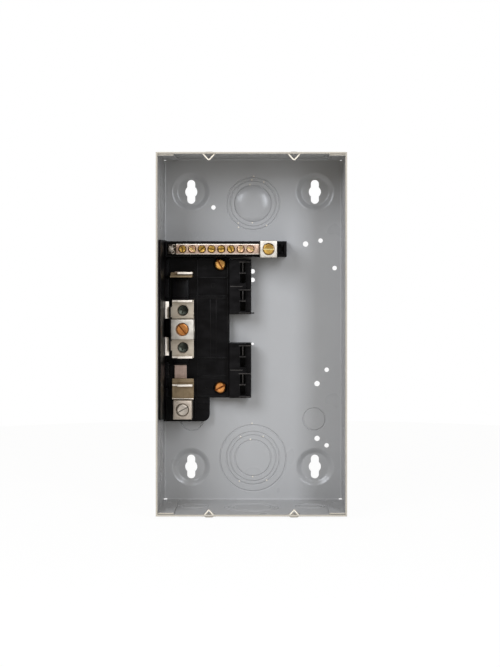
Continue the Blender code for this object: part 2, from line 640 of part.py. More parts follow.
def peg_places(upper):
    low, high = rail_span(upper)
    x = BASE_RIGHT + GAP + PEG_FROM_SIDE
    return [(x, low + PEG_FROM_END), (x, high - PEG_FROM_END)]


def interior_base():
    """A deck on a skirt, open at the back, with a tall barrier on the side of the box's left wall."""
    bm = bmesh.new()
    base_outline(bm, (GAP, DECK_HEIGHT))
    base = make("interior_base", bm, BLACK_PLASTIC, pivot=(BUS_X, y_at(GAP), INTERIOR_RISE))
    join(base, "base_shelf", lambda bm: add_shelf(bm, 0, (GAP, DECK_HEIGHT - BASE_WALL / 5)))
    top, bottom = INTERIOR_RISE + BASE_TOP, INTERIOR_RISE - BASE_BOTTOM
    inner_left = BASE_LEFT + BARRIER_THICKNESS + BASE_WALL
    cavity = (-GAP, DECK_HEIGHT - BASE_WALL)
    cut(base, "base_cavity", lambda bm: add_box(
        bm, (inner_left, BASE_RIGHT - BASE_WALL), (bottom + BASE_WALL, top - BASE_WALL), cavity))
    cut(base, "shelf_cavity", lambda bm: add_box(
        bm, (inner_left, BASE_LEFT + LUG_SHELF_WIDTH - LUG_SHELF_CORNER),
        (bottom - LUG_SHELF_LENGTH + BASE_WALL, bottom + BASE_WALL + OVER), cavity))
    for name, (x, z) in base_screw_places().items():
        join(base, f"pillar_{name}", lambda bm, x=x, z=z: add_upright(
            bm, x, z, (2 * GAP, DECK_HEIGHT - BASE_WALL / 4), BASE_PILLAR_RADIUS, 20))
    barrier_top = INTERIOR_RISE + CARRIER_TOP + OVER
    barrier_bottom = bottom - LUG_SHELF_LENGTH + OVER
    join(base, "barrier", lambda bm: add_box(
        bm, (BASE_LEFT + SINK, BASE_LEFT + BARRIER_THICKNESS), (barrier_bottom, barrier_top),
        (3 * GAP, RIM - BARRIER_BELOW_RIM)))
    ledge_right = BASE_LEFT + BARRIER_THICKNESS + LEDGE_WIDTH
    ledge_left = BASE_LEFT + BARRIER_THICKNESS / 2
    ledges = (
        (pole_z(2) + BLADE_FOLD / 2 + GAP, pole_z(1) - BLADE_FOLD),
        (pole_z(4) + BLADE_FOLD + GAP, pole_z(3) - BLADE_FOLD / 2 - GAP - BLADE_LEAF),
    )
    for number, z in enumerate(ledges, 1):
        join(base, f"ledge_{number}", lambda bm, z=z: add_box(
            bm, (ledge_left, ledge_right - OVER / 2), z, (DECK_HEIGHT - OVER, LEDGE_HEIGHT)))
    # The bridge runs beside the bus bars. It arches over the upper bus bar's two tabs.
    bridge_x = (BRIDGE_RIGHT - BRIDGE_WIDTH, BRIDGE_RIGHT)
    join(base, "bridge", lambda bm: add_box(
        bm, bridge_x, (pole_z(3) + BLADE_FOLD, pole_z(2) - BLADE_FOLD), (DECK_HEIGHT - OVER, BRIDGE_HEIGHT)))
    cut(base, "bridge_arches", *(
        lambda bm, z=z: add_box(
            bm, (bridge_x[0] - OVER, bridge_x[1] + OVER), z,
            (TABLE_HEIGHT - BUS_THICKNESS - GAP, TABLE_HEIGHT + GAP))
        for z in table_tab_spans(GAP)
    ))
    pockets = (
        (pole_z(2) + POCKET_PAST_BLADE, pole_z(1) - POCKET_FROM_BLADE),
        (pole_z(4) + POCKET_FROM_BLADE, pole_z(3) - POCKET_PAST_BLADE),
    )
    cut(base, "deck_pockets", *(
        lambda bm, z=z: add_box(
            bm, (BUS_X + TABLE_WIDTH / 2 + POCKET_FROM_BUS, BASE_RIGHT - POCKET_FROM_EDGE), z,
            (DECK_HEIGHT - POCKET_DEPTH, DECK_HEIGHT + OVER))
        for z in pockets
    ))
    for upper in (True, False):
        low, high = rail_span(upper)
        name = "upper" if upper else "lower"
        join(base, f"rail_floor_{name}", lambda bm, low=low, high=high: add_box(
            bm, (BASE_RIGHT - BASE_WALL / 2, RAIL_RIGHT - OVER), (low + OVER, high - OVER),
            (2 * GAP, RAIL_FLOOR)))
        join(base, f"rail_pegs_{name}", *(
            lambda bm, p=p: add_upright(bm, *p, (RAIL_FLOOR - OVER, RAIL_FLOOR + PEG_LENGTH), PEG_RADIUS, 12)
            for p in peg_places(upper)
        ))
    screws = [
        lambda bm, p=p: add_upright(bm, *p, (-GAP, DECK_HEIGHT + OVER), BASE_SCREW_RADIUS + GAP, 12)
        for p in base_screw_places().values()
    ]
    cut(base, "base_screw_holes", *screws)


def breaker_rails():
    """One rail for each pair of poles, with a hook window on each side of each pole's middle."""
    for upper in (True, False):
        name = "upper" if upper else "lower"
        low, high = rail_span(upper)
        left = BASE_RIGHT + GAP
        rail = box_piece(f"breaker_rail_{name}", BLACK_PLASTIC, (left, RAIL_RIGHT), (low, high),
                         (RAIL_FLOOR + GAP, RAIL_HEIGHT))
        window_right = RAIL_RIGHT - HOOK_WINDOW_FROM_EDGE
        offset = (HOOK_RIB + HOOK_WINDOW_LENGTH) / 2
        poles = (1, 2) if upper else (3, 4)
        cut(rail, f"hook_windows_{name}", *(
            lambda bm, z=z: add_box(
                bm, (window_right - HOOK_WINDOW_WIDTH, window_right), span(z, HOOK_WINDOW_LENGTH),
                (RAIL_HEIGHT - HOOK_WINDOW_DEPTH, RAIL_HEIGHT + OVER))
            for pole in poles for z in (pole_z(pole) + offset, pole_z(pole) - offset)
        ))
        cut(rail, f"peg_holes_{name}", *(
            lambda bm, p=p: add_upright(
                bm, *p, (RAIL_FLOOR - OVER, RAIL_FLOOR + PEG_LENGTH + GAP), PEG_RADIUS + GAP, 12)
            for p in peg_places(upper)
        ))
        if upper:
            join(rail, "rail_lip", lambda bm: add_box(
                bm, (RAIL_RIGHT - OVER, RAIL_RIGHT + RAIL_LIP), (low + SINK, low + RAIL_LIP_THICKNESS),
                (RAIL_FLOOR + 2 * GAP, RAIL_FLOOR + RAIL_LIP_HEIGHT)))
        # The breaker's foot slides down this step beside the windows.
        cut(rail, f"hook_step_{name}", lambda bm: add_box(
            bm, (window_right, RAIL_RIGHT + OVER), (low - OVER, high + OVER),
            (RAIL_HEIGHT - HOOK_STEP_DEPTH, RAIL_HEIGHT + OVER)))


# ---- Bus bars --------------------------------------------------------------------------------------
def fixing_places():
    """Where the upper bus bar is screwed to the base, through its two tables."""
    return {"upper": pole_z(2) - FIXING_HOLE_FROM_BLADE, "lower": pole_z(3) + FIXING_HOLE_FROM_BLADE}


def leg_faces():
    """The outer faces, in Z, of the upper bus bar's two legs beside the lug."""
    return INTERIOR_RISE + LUG_GAP_HALF + BUS_THICKNESS, INTERIOR_RISE - LUG_GAP_HALF - BUS_THICKNESS


def table_tab_spans(extra=0):
    """The Z spans of the two tabs that reach left under the bridge."""
    upper, lower = leg_faces()
    return [
        (upper - BUS_THICKNESS / 2 - extra, pole_z(2) - BLADE_FOLD - 2 * GAP + extra),
        (pole_z(3) + BLADE_FOLD + 2 * GAP - extra, lower + BUS_THICKNESS / 2 + extra),
    ]


def insulator_span():
    return (pole_z(3) - INSULATOR_PAST_BLADE, pole_z(1) + BLADE_LEAF / 2 - BLADE_FOLD - GAP)


def blade_ends():
    left = BUS_X + BLADE_SHIFT - BLADE_LENGTH / 2
    return left, left + BLADE_LENGTH


def add_blade(bm, z, root):
    """A blade's tall leaf."""
    left, right = blade_ends()
    add_box(bm, (left + BLADE_STEP, right), span(z, BLADE_LEAF), (root, BLADE_HEIGHT))


def add_lead_in(bm, z, root):
    """The lower part at a blade's left end, that a breaker's jaw meets first."""
    left, right = blade_ends()
    add_box(
        bm, (left, right - BLADE_STEP), span(z, BLADE_LEAF - 2 * SINK), (root, BLADE_HEIGHT - LEAD_IN_DROP))


def fold_parts(z, root):
    """The second leaf of the first pole's folded blade and the fold between the leaves, as builders."""
    left, right = blade_ends()
    low = z + BLADE_LEAF / 2 - BLADE_FOLD
    leaf = 0.7 * BLADE_LEAF
    return (
        lambda bm: add_box(bm, (left, right - 2 * SINK), (low, low + leaf), (root, BLADE_HEIGHT - OVER)),
        lambda bm: add_box(
            bm, (left + 2 * SINK, right - OVER / 2), (low + leaf / 2, z + BLADE_LEAF / 4),
            (root + 2 * SINK, BLADE_HEIGHT - FOLD_DROP)),
    )


def bus_bar_upper():
    """The bar of poles 2 and 3: two raised tables, joined by a saddle that carries the line lug."""
    upper, lower = leg_faces()
    bm = bmesh.new()
    saddle = (SADDLE_TOP - BUS_THICKNESS, SADDLE_TOP)
    add_box(bm, span(BUS_X, TABLE_WIDTH), (lower, upper), saddle)
    bar = make("bus_bar_upper", bm, TINNED_ALUMINIUM, pivot=(BUS_X, y_at(TABLE_HEIGHT), INTERIOR_RISE))
    x = (TABLE_LEFT, TABLE_LEFT + TABLE_WIDTH - SINK)
    legs_x = (TABLE_LEFT + 2 * SINK, TABLE_LEFT + TABLE_WIDTH - 2 * SINK)
    table = (TABLE_HEIGHT - BUS_THICKNESS, TABLE_HEIGHT)
    for name, sign, inner, blade in (("top", 1, upper, pole_z(2)), ("low", -1, lower, pole_z(3))):
        leg = sorted((inner - sign * SINK, inner - sign * BUS_THICKNESS))
        plate = sorted((inner - sign * BUS_THICKNESS * 0.9, blade + sign * BLADE_LEAF * 0.4))
        join(bar, f"bus_leg_{name}", lambda bm, leg=leg: add_box(
            bm, legs_x, leg, (SADDLE_TOP - BUS_THICKNESS / 2, TABLE_HEIGHT - BUS_THICKNESS / 2)))
        join(bar, f"bus_table_{name}", lambda bm, plate=plate: add_box(bm, x, plate, table))
    for number, z in enumerate(table_tab_spans(), 1):
        join(bar, f"bus_tab_{number}", lambda bm, z=z: add_box(
            bm, (TAB_LEFT, TABLE_LEFT + 2 * OVER), z, (table[0] + SINK, table[1] - SINK)))
    for pole in (2, 3):
        join(bar, f"blade_{pole}", lambda bm, pole=pole: add_blade(bm, pole_z(pole), table[0] + 2 * SINK))
        join(bar, f"lead_in_{pole}", lambda bm, pole=pole: add_lead_in(
            bm, pole_z(pole), table[0] + 4 * SINK))
    cut(bar, "fixing_holes", *(
        lambda bm, z=z: add_upright(bm, BUS_X, z, (table[0] - OVER, table[1] + OVER), FIXING_HOLE_RADIUS, 20)
        for z in fixing_places().values()
    ))
    cut(bar, "lug_screw_hole", lambda bm: add_upright(
        bm, BUS_X, INTERIOR_RISE, (saddle[0] - OVER, saddle[1] + OVER), LUG_SCREW_RADIUS + GAP, 12))


def bus_bar_lower():
    """The bar of poles 1 and 4: a strip that crosses under the upper bar, and a table with a lug tongue."""
    strip_x = span(CROSSOVER_X, CROSSOVER_WIDTH)
    strip = (DECK_HEIGHT + GAP, CROSSOVER_TOP)
    table = (TABLE_HEIGHT - BUS_THICKNESS, TABLE_HEIGHT)
    tongue = (TONGUE_HEIGHT - BUS_THICKNESS, TONGUE_HEIGHT)
    table_top = pole_z(4) + LINE_TABLE_ABOVE
    table_low = pole_z(4) - LINE_TABLE_BELOW
    bm = bmesh.new()
    add_box(bm, strip_x, (table_top - BUS_THICKNESS, pole_z(1) + BLADE_LEAF / 2), strip)
    bar = make("bus_bar_lower", bm, TINNED_ALUMINIUM, pivot=(CROSSOVER_X, y_at(CROSSOVER_TOP), INTERIOR_RISE))
    narrow = (strip_x[0] + 2 * SINK, strip_x[1] - 2 * SINK)
    wide = span(BUS_X, TABLE_WIDTH)
    join(bar, "rise_leg", lambda bm: add_box(
        bm, narrow, (table_top - BUS_THICKNESS + SINK, table_top - SINK),
        (strip[0] + 2 * SINK, TABLE_HEIGHT - 2 * SINK)))
    join(bar, "line_table", lambda bm: add_box(bm, wide, (table_low, table_top), table))
    join(bar, "tongue_leg", lambda bm: add_box(
        bm, span(BUS_X, TONGUE_WIDTH), (table_low - SINK, table_low + BUS_THICKNESS - SINK),
        (tongue[0], TABLE_HEIGHT - SINK)))
    join(bar, "tongue", lambda bm: add_box(
        bm, span(BUS_X, TONGUE_WIDTH - 2 * SINK), (tongue_tip(), table_low + OVER),
        (tongue[0] + SINK, tongue[1])))
    for pole, root in ((1, strip[0]), (4, table[0])):
        narrow_root = root + 2 * SINK
        join(bar, f"blade_{pole}", lambda bm, p=pole, r=narrow_root: add_blade(bm, pole_z(p), r))
    join(bar, "lead_in_4", lambda bm: add_lead_in(bm, pole_z(4), table[0] + 4 * SINK))
    for part, build in zip(("leaf", "fold"), fold_parts(pole_z(1), strip[0] + 4 * SINK)):
        join(bar, f"blade_1_{part}", build)


def bus_insulator():
    """The plate that keeps the two bus bars apart, with skirts down both sides of the crossover."""
    x = span(CROSSOVER_X, CROSSOVER_WIDTH + 2 * (GAP + INSULATOR_SKIRT))
    z = insulator_span()
    plate = box_piece("bus_insulator", BLACK_PLASTIC, x, z, (DECK_HEIGHT + GAP, INSULATOR_TOP))
    cut(plate, "crossover_channel", lambda bm: add_box(
        bm, span(CROSSOVER_X, CROSSOVER_WIDTH + 2 * GAP), (z[0] - OVER, z[1] + OVER),
        (0, CROSSOVER_TOP + GAP)))
    cut(plate, "insulator_screw_holes", *(
        lambda bm, z=z: add_upright(
            bm, BUS_X, z, (INSULATOR_TOP - FIXING_BITE - GAP, INSULATOR_TOP + OVER), FIXING_SHANK + GAP, 12)
        for z in fixing_places().values()
    ))
    cut(plate, "insulator_head_pocket", lambda bm: add_upright(
        bm, BUS_X, INTERIOR_RISE, (INSULATOR_TOP - LUG_SCREW_HEAD - GAP, INSULATOR_TOP + OVER),
        LUG_SCREW_HEAD_RADIUS + GAP, 16))


# ---- Lugs and screws -------------------------------------------------------------------------------
def line_lug_a_top():
    return pole_z(4) - LINE_TABLE_BELOW - GAP


def tongue_tip():
    return line_lug_a_top() - LINE_LUG_A_LENGTH + OVER


def slotted_screw(name, finish, x, z, bottom, top, radius, turn_deg):
    """A headless clamping screw with a driver slot, chamfered at its tip, on its own axis."""
    bm = bmesh.new()
    add_upright(bm, x, z, (bottom, top), radius)
    screw = make(name, bm, finish, pivot=(x, y_at(top), z))
    slot = bmesh.new()
    add_box(slot, span(x, 2 * radius + OVER), span(z, SCREW_SLOT), (top - SCREW_SLOT_DEPTH, top + OVER))
    bmesh.ops.rotate(
        slot, verts=slot.verts, cent=(x, 0, z), matrix=Matrix.Rotation(math.radians(turn_deg), 3, "Y")
    )
    combine(screw, make(f"{name}_slot", slot, None, CUTTERS), "DIFFERENCE")
    return screw


def line_lug_a():
    """The box lug round the lower bus bar's tongue. Its wire comes from below."""
    top = line_lug_a_top()
    z = (top - LINE_LUG_A_LENGTH, top)
    low = TONGUE_HEIGHT - BUS_THICKNESS - GAP - LUG_WALL
    lug = box_piece("line_lug_a", LUG_ALUMINIUM, span(BUS_X, LINE_LUG_A_WIDTH), z, (low, LINE_LUG_A_TOP))
    inner_top = LINE_LUG_A_TOP - LINE_LUG_A_ROOF
    cut(lug, "line_lug_a_way", lambda bm: add_box(
        bm, span(BUS_X, LINE_LUG_A_WIDTH - 2 * LUG_WALL), (z[0] - OVER, z[1] + OVER),
        (low + LUG_WALL, inner_top)))
    middle = sum(z) / 2
    cut(lug, "line_lug_a_bore", lambda bm: add_upright(
        bm, BUS_X, middle, (inner_top - OVER, LINE_LUG_A_TOP + OVER), LINE_SCREW_RADIUS + RUNNING_GAP))
    slotted_screw("line_lug_a_screw", ZINC, BUS_X, middle, inner_top - SCREW_TIP,
                  LINE_LUG_A_TOP + SCREW_PROUD * 0.7, LINE_SCREW_RADIUS, LINE_LUG_A_TURN)


def line_lug_b():
    """The solid lug on the upper bus bar's saddle. Its wire comes from the right, between the breakers."""
    z = span(INTERIOR_RISE, 2 * (LUG_GAP_HALF - GAP))
    low = SADDLE_TOP + GAP
    lug = box_piece("line_lug_b", LUG_ALUMINIUM, span(BUS_X, LINE_LUG_B_WIDTH), z, (low, LINE_LUG_B_TOP))
    wire_top = LINE_LUG_B_TOP - LINE_LUG_B_ROOF
    wire = wire_top - LINE_LUG_B_BORE
    cut(lug, "line_lug_b_way", lambda bm: add_rod(
        bm, Vector((BUS_X, y_at(wire), INTERIOR_RISE)), LINE_LUG_B_WIDTH + 4 * OVER, LINE_LUG_B_BORE, "X"))
    cut(lug, "line_lug_b_bore", lambda bm: add_upright(
        bm, BUS_X, INTERIOR_RISE, (wire - LINE_LUG_B_BORE * 0.8, LINE_LUG_B_TOP + OVER),
        LINE_SCREW_RADIUS + RUNNING_GAP))
    cut(lug, "line_lug_b_tapping", lambda bm: add_upright(
        bm, BUS_X, INTERIOR_RISE, (low - OVER, wire - LINE_LUG_B_BORE * 0.5), LUG_SCREW_RADIUS + GAP, 12))
    slotted_screw("line_lug_b_screw", COPPER, BUS_X, INTERIOR_RISE, wire_top - SCREW_TIP,
                  LINE_LUG_B_TOP + SCREW_PROUD, LINE_SCREW_RADIUS, LINE_LUG_B_TURN)
    # The fixing screw comes up through the saddle, with its thin head sunk in the insulator.
    head = (INSULATOR_TOP - LUG_SCREW_HEAD, INSULATOR_TOP)
    bm = bmesh.new()
    add_upright(bm, BUS_X, INTERIOR_RISE, head, LUG_SCREW_HEAD_RADIUS, 16)
    fixing = make("line_lug_b_fixing_screw", bm, ZINC, pivot=(BUS_X, y_at(INSULATOR_TOP), INTERIOR_RISE))
    join(fixing, "line_lug_b_fixing_shank", lambda bm: add_upright(
        bm, BUS_X, INTERIOR_RISE, (head[0] + OVER / 2, wire - LINE_LUG_B_BORE - OVER / 2),
        LUG_SCREW_RADIUS, 12))


def bus_fixing_screws():
    """The two dark screws sunk in the upper bus bar's tables. Each is screwed into the insulator."""
    for name, z in fixing_places().items():
        bm = bmesh.new()
        add_upright(
            bm, BUS_X, z, (INSULATOR_TOP + GAP, TABLE_HEIGHT - FIXING_HEAD_BELOW), FIXING_HEAD_RADIUS, 20)
        screw = make(f"bus_fixing_screw_{name}", bm, DARK_STEEL, pivot=(BUS_X, y_at(TABLE_HEIGHT), z))
        join(screw, f"bus_fixing_shank_{name}", lambda bm, z=z: add_upright(
            bm, BUS_X, z, (INSULATOR_TOP - FIXING_BITE, INSULATOR_TOP + OVER), FIXING_SHANK, 12))
        for turn in ("a", "b"):
            wide, tall = FIXING_RECESS if turn == "a" else FIXING_RECESS[::-1]
            cut(screw, f"fixing_recess_{name}_{turn}", lambda bm, z=z, w=wide, t=tall: add_box(
                bm, span(BUS_X, w), span(z, t),
                (TABLE_HEIGHT - FIXING_HEAD_BELOW - FIXING_RECESS_DEPTH, TABLE_HEIGHT)))


def base_screws():
    """Two pan-head screws that hold the base on the box's back panel."""
    for name, (x, z) in base_screw_places().items():
        low = DECK_HEIGHT + GAP
        top = low + BASE_SCREW_HEAD
        profile = [
            (0, top), (BASE_SCREW_HEAD_RADIUS * 0.6, top - 0.2 * OVER),
            (BASE_SCREW_HEAD_RADIUS * 0.9, top - OVER),
            (BASE_SCREW_HEAD_RADIUS, low + OVER), (BASE_SCREW_HEAD_RADIUS, low), (BASE_SCREW_RADIUS, low),
            (BASE_SCREW_RADIUS, -SHEET - PAD_STANDOFF / 2), (0, -SHEET - PAD_STANDOFF / 2),
        ]
        screw = turned(f"base_screw_{name}", profile, x, z, PARTS, 20)
        screw.data.materials.append(BRASS)
        slot = bmesh.new()
        add_box(
            slot, span(x, 2 * BASE_SCREW_HEAD_RADIUS + OVER), span(z, SCREW_SLOT),
            (top - SCREW_SLOT_DEPTH, top + OVER))
        bmesh.ops.rotate(
            slot, verts=slot.verts, cent=(x, 0, z),
            matrix=Matrix.Rotation(math.radians(BASE_SCREW_TURN), 3, "Y")
        )
        combine(screw, make(f"base_screw_slot_{name}", slot, None, CUTTERS), "DIFFERENCE")


# ---- Neutral assembly ------------------------------------------------------------------------------
def neutral_carrier():
    """The moulded channel that the neutral bar lies in, open at the back, with a post at its right end."""
    edges = span(CARRIER_Z, CARRIER_WIDTH)
    x = (CARRIER_LEFT, CARRIER_RIGHT)
    carrier = box_piece("neutral_carrier", BLACK_PLASTIC, x, edges, (GAP, CARRIER_FLOOR_HEIGHT + CARRIER_LIP))
    cut(carrier, "bar_channel", lambda bm: add_box(
        bm, (x[0] - OVER, x[1] - CARRIER_END), span(CARRIER_Z, CARRIER_WIDTH - 2 * CARRIER_LIP_WIDTH),
        (CARRIER_FLOOR_HEIGHT, CARRIER_FLOOR_HEIGHT + 3 * CARRIER_LIP)))
    # The lips stop short of the neutral lug, which is as wide as the carrier.
    cut(carrier, "lug_seat", lambda bm: add_box(
        bm, (LUG_LEFT - GAP, LUG_RIGHT + GAP), span(CARRIER_Z, 2 * CARRIER_WIDTH),
        (lug_low() - GAP, CARRIER_FLOOR_HEIGHT + 3 * CARRIER_LIP)))
    cut(carrier, "carrier_cavity", lambda bm: add_box(
        bm, (x[0] + CARRIER_WALL, x[1] - CARRIER_WALL), span(CARRIER_Z, CARRIER_WIDTH - 2 * CARRIER_WALL),
        (-OVER, lug_low() - 2 * CARRIER_WALL)))
    cut(carrier, "carrier_screw_hole", lambda bm: add_upright(
        bm, CARRIER_SCREW_X, CARRIER_Z,
        (CARRIER_FLOOR_HEIGHT - 2 * CARRIER_WALL - 4 * OVER, CARRIER_FLOOR_HEIGHT + OVER),
        CARRIER_SCREW_RADIUS + GAP, 12))


def lug_low():
    """The underside of the neutral lug, which hangs round the bar's tongue."""
    return TONGUE_LOW - GAP - LUG_WALL


def terminal_x(number):
    return FIRST_TERMINAL_X + (number - 1) * NEUTRAL_PITCH


def neutral_bar():
    """A drilled bar: a wire hole across it and a screw bore into it at each terminal, and a tongue."""
    z = span(CARRIER_Z, NEUTRAL_BAR_WIDTH)
    bar = box_piece("neutral_bar", TINNED_ALUMINIUM, (BAR_LEFT, BAR_RIGHT), z, (BAR_LOW, BAR_TOP))
    narrow = span(CARRIER_Z, min(NEUTRAL_BAR_WIDTH - OVER, NEUTRAL_LUG_SIZE - 2 * LUG_WALL - 2 * GAP))
    tongue = (TONGUE_LOW, TONGUE_TOP)
    join(bar, "neutral_tongue", lambda bm: add_box(bm, (BAR_RIGHT - OVER, LUG_RIGHT - OVER), narrow, tongue))
    join(bar, "neutral_foot", lambda bm: add_box(
        bm, (BAR_LEFT - NEUTRAL_FOOT, BAR_LEFT + OVER), narrow, tongue))
    wire = BAR_LOW + NEUTRAL_WIRE_HEIGHT
    numbers = range(1, NEUTRAL_TERMINALS + 1)
    cut(bar, "neutral_wire_holes", *(
        lambda bm, n=n: add_rod(
            bm, Vector((terminal_x(n), y_at(wire), CARRIER_Z)), NEUTRAL_BAR_WIDTH + 4 * OVER,
            NEUTRAL_WIRE_RADIUS, "Z", 16)
        for n in numbers
    ))
    cut(bar, "neutral_screw_bores", *(
        lambda bm, n=n: add_upright(
            bm, terminal_x(n), CARRIER_Z, (wire - NEUTRAL_WIRE_RADIUS * 0.8, BAR_TOP + OVER),
            NEUTRAL_SCREW_RADIUS + RUNNING_GAP, 20)
        for n in numbers
    ))
    cut(bar, "bar_mounting_hole", lambda bm: add_upright(
        bm, CARRIER_SCREW_X, CARRIER_Z, (TONGUE_LOW - OVER, TONGUE_TOP + OVER),
        CARRIER_SCREW_RADIUS + GAP, 12))


def neutral_screws():
    wire_top = BAR_LOW + NEUTRAL_WIRE_HEIGHT + NEUTRAL_WIRE_RADIUS
    for number in range(1, NEUTRAL_TERMINALS + 1):
        slotted_screw(
            f"neutral_screw_{number}", BRASS, terminal_x(number), CARRIER_Z, wire_top - NEUTRAL_SCREW_TIP,
            BAR_TOP + NEUTRAL_SCREW_PROUD, NEUTRAL_SCREW_RADIUS,
            NEUTRAL_TURNS[(number - 1) % len(NEUTRAL_TURNS)],
        )
    low = TONGUE_TOP + GAP
    top = low + CARRIER_SCREW_HEAD
    profile = [
        (0, top), (CARRIER_SCREW_HEAD_RADIUS * 0.8, top - 0.3 * OVER),
        (CARRIER_SCREW_HEAD_RADIUS, low + 0.8 * OVER),
        (CARRIER_SCREW_HEAD_RADIUS, low), (CARRIER_SCREW_RADIUS, low),
        (CARRIER_SCREW_RADIUS, CARRIER_FLOOR_HEIGHT - CARRIER_SCREW_BITE),
        (0, CARRIER_FLOOR_HEIGHT - CARRIER_SCREW_BITE),
    ]
    screw = turned("neutral_bar_mounting_screw", profile, CARRIER_SCREW_X, CARRIER_Z, PARTS, 16)
    screw.data.materials.append(ZINC)


def neutral_lug():
    """The box lug on the neutral bar's tongue. Its wire comes over the carrier's end post."""
    x, z = (LUG_LEFT, LUG_RIGHT), span(CARRIER_Z, NEUTRAL_LUG_SIZE)
    lug = box_piece("neutral_lug", LUG_ALUMINIUM, x, z, (lug_low(), NEUTRAL_LUG_TOP))
    inner_low, inner_top = lug_low() + LUG_WALL, NEUTRAL_LUG_TOP - NEUTRAL_LUG_ROOF
    cut(lug, "neutral_lug_way", lambda bm: add_box(
        bm, (x[0] - OVER, x[1] + OVER), span(CARRIER_Z, NEUTRAL_LUG_SIZE - 2 * LUG_WALL),
        (inner_low, inner_top)))
    cut(lug, "neutral_lug_bore", lambda bm: add_upright(
        bm, LUG_X, CARRIER_Z, (inner_low + OVER, NEUTRAL_LUG_TOP + OVER),
        NEUTRAL_LUG_SCREW_RADIUS + RUNNING_GAP))
    slotted_screw("neutral_lug_screw", BRASS, LUG_X, CARRIER_Z, inner_top - NEUTRAL_LUG_SCREW_TIP,
                  NEUTRAL_LUG_TOP + SCREW_PROUD, NEUTRAL_LUG_SCREW_RADIUS, 0)


enclosure()
interior_base()
breaker_rails()
bus_bar_upper()
bus_bar_lower()
bus_insulator()
line_lug_a()
line_lug_b()
bus_fixing_screws()
base_screws()
neutral_carrier()
neutral_bar()
neutral_screws()
neutral_lug()
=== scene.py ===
"""Looks of a small indoor load-centre box with its breaker interior, in a plain studio.

Metres, in the same frame as the part: +Z up, -Y out of the open front, the wall plane at Y = 0.
A "height" is a distance in front of the back panel's inner face.
"""

import math

import bmesh
import bpy
from bpy.props import FloatProperty, FloatVectorProperty, IntProperty, PointerProperty
from mathutils import Matrix, Vector


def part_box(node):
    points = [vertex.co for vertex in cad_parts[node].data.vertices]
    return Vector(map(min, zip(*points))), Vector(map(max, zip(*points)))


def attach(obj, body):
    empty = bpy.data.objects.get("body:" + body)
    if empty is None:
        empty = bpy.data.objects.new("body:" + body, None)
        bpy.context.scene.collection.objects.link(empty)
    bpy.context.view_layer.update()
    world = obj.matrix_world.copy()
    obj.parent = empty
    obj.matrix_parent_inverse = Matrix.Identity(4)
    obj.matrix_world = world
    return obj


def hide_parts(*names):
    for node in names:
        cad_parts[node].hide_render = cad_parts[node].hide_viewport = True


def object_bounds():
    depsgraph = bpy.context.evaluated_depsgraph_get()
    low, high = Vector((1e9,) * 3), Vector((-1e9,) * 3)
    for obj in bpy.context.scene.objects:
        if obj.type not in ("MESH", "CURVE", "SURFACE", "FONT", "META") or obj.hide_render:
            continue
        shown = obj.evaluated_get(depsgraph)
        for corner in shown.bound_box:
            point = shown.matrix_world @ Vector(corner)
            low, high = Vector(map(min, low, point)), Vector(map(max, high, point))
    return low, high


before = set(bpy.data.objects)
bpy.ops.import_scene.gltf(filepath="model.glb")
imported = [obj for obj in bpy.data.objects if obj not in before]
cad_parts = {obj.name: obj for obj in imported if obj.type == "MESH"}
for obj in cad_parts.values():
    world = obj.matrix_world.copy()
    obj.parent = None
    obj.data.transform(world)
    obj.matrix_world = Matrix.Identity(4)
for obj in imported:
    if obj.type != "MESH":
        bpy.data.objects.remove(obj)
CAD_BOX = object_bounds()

bl_info = {
    "name": "Breaker Panel Box",
    "version": (1, 0, 0),
    "blender": (4, 5, 0),
    "location": "3D View > Sidebar > Panel Box",
    "description": "Builds a load-centre box, its breaker interior and a studio for it",
    "category": "Add Mesh",
}

MM = 0.001
FRAME_LONG_SIDE = 667  # long side of the frame that the camera is set for


def linear(hex_colour):
    """An sRGB hex colour as linear RGBA."""
    text = hex_colour.lstrip("#")
    parts = [int(text[i:i + 2], 16) / 255 for i in (0, 2, 4)]
    return (*(c / 12.92 if c <= 0.04045 else ((c + 0.055) / 1.055) ** 2.4 for c in parts), 1.0)


def colour_property(name, description, hex_colour):
    return FloatVectorProperty(
        name=name, description=description, subtype="COLOR", size=4, min=0, max=1, default=linear(hex_colour)
    )


def length_property(name, description, millimetres):
    return FloatProperty(name=name, description=description, unit="LENGTH", min=0, default=millimetres * MM)


# ---- Settings --------------------------------------------------------------------------------------
class PanelBoxEnclosureSettings(bpy.types.PropertyGroup):
    """Sizes and colours of the folded sheet box."""

    width: length_property("Width", "Outside width of the box", 166.7)
    height: length_property("Height", "Outside height of the box", 317.5)
    depth: length_property("Depth", "Back panel's rear face to the front rim", 88.9)
    sheet: length_property("Sheet", "Thickness of the steel", 1.5)
    bend_radius: length_property("Bend radius", "Outside radius of the folds", 3.0)
    standoff: length_property("Pad standoff", "How far the pads stand behind the back panel", 2.5)
    pad_radius: length_property("Pad radius", "Outer radius of a pressed pad", 17.9)
    groove_width: length_property("Groove width", "Width of a knockout's shear line", 1.7)
    groove_depth: length_property("Groove depth", "Depth of a knockout's shear line", 0.6)
    dome_rise: length_property("Dome rise", "How far the upper knockout's slug is domed", 2.3)
    enamel: colour_property("Enamel", "Colour of the baked enamel", "#a2a2a2")
    cut_edge: colour_property("Cut edge", "Colour of the thinly painted cut edges", "#a09b92")


class PanelBoxMouldingSettings(bpy.types.PropertyGroup):
    """Sizes and colours of the black mouldings."""

    edge: length_property("Edge radius", "Rounding of the moulded edges", 0.45)
    rib: length_property("Rib height", "Height of the deck's moulded ribs", 0.7)
    plastic: colour_property("Plastic", "Colour of the moulded plastic", "#050405")
    bloom: colour_property("Bloom", "Colour of the plastic's paler flow marks", "#0e0c0d")


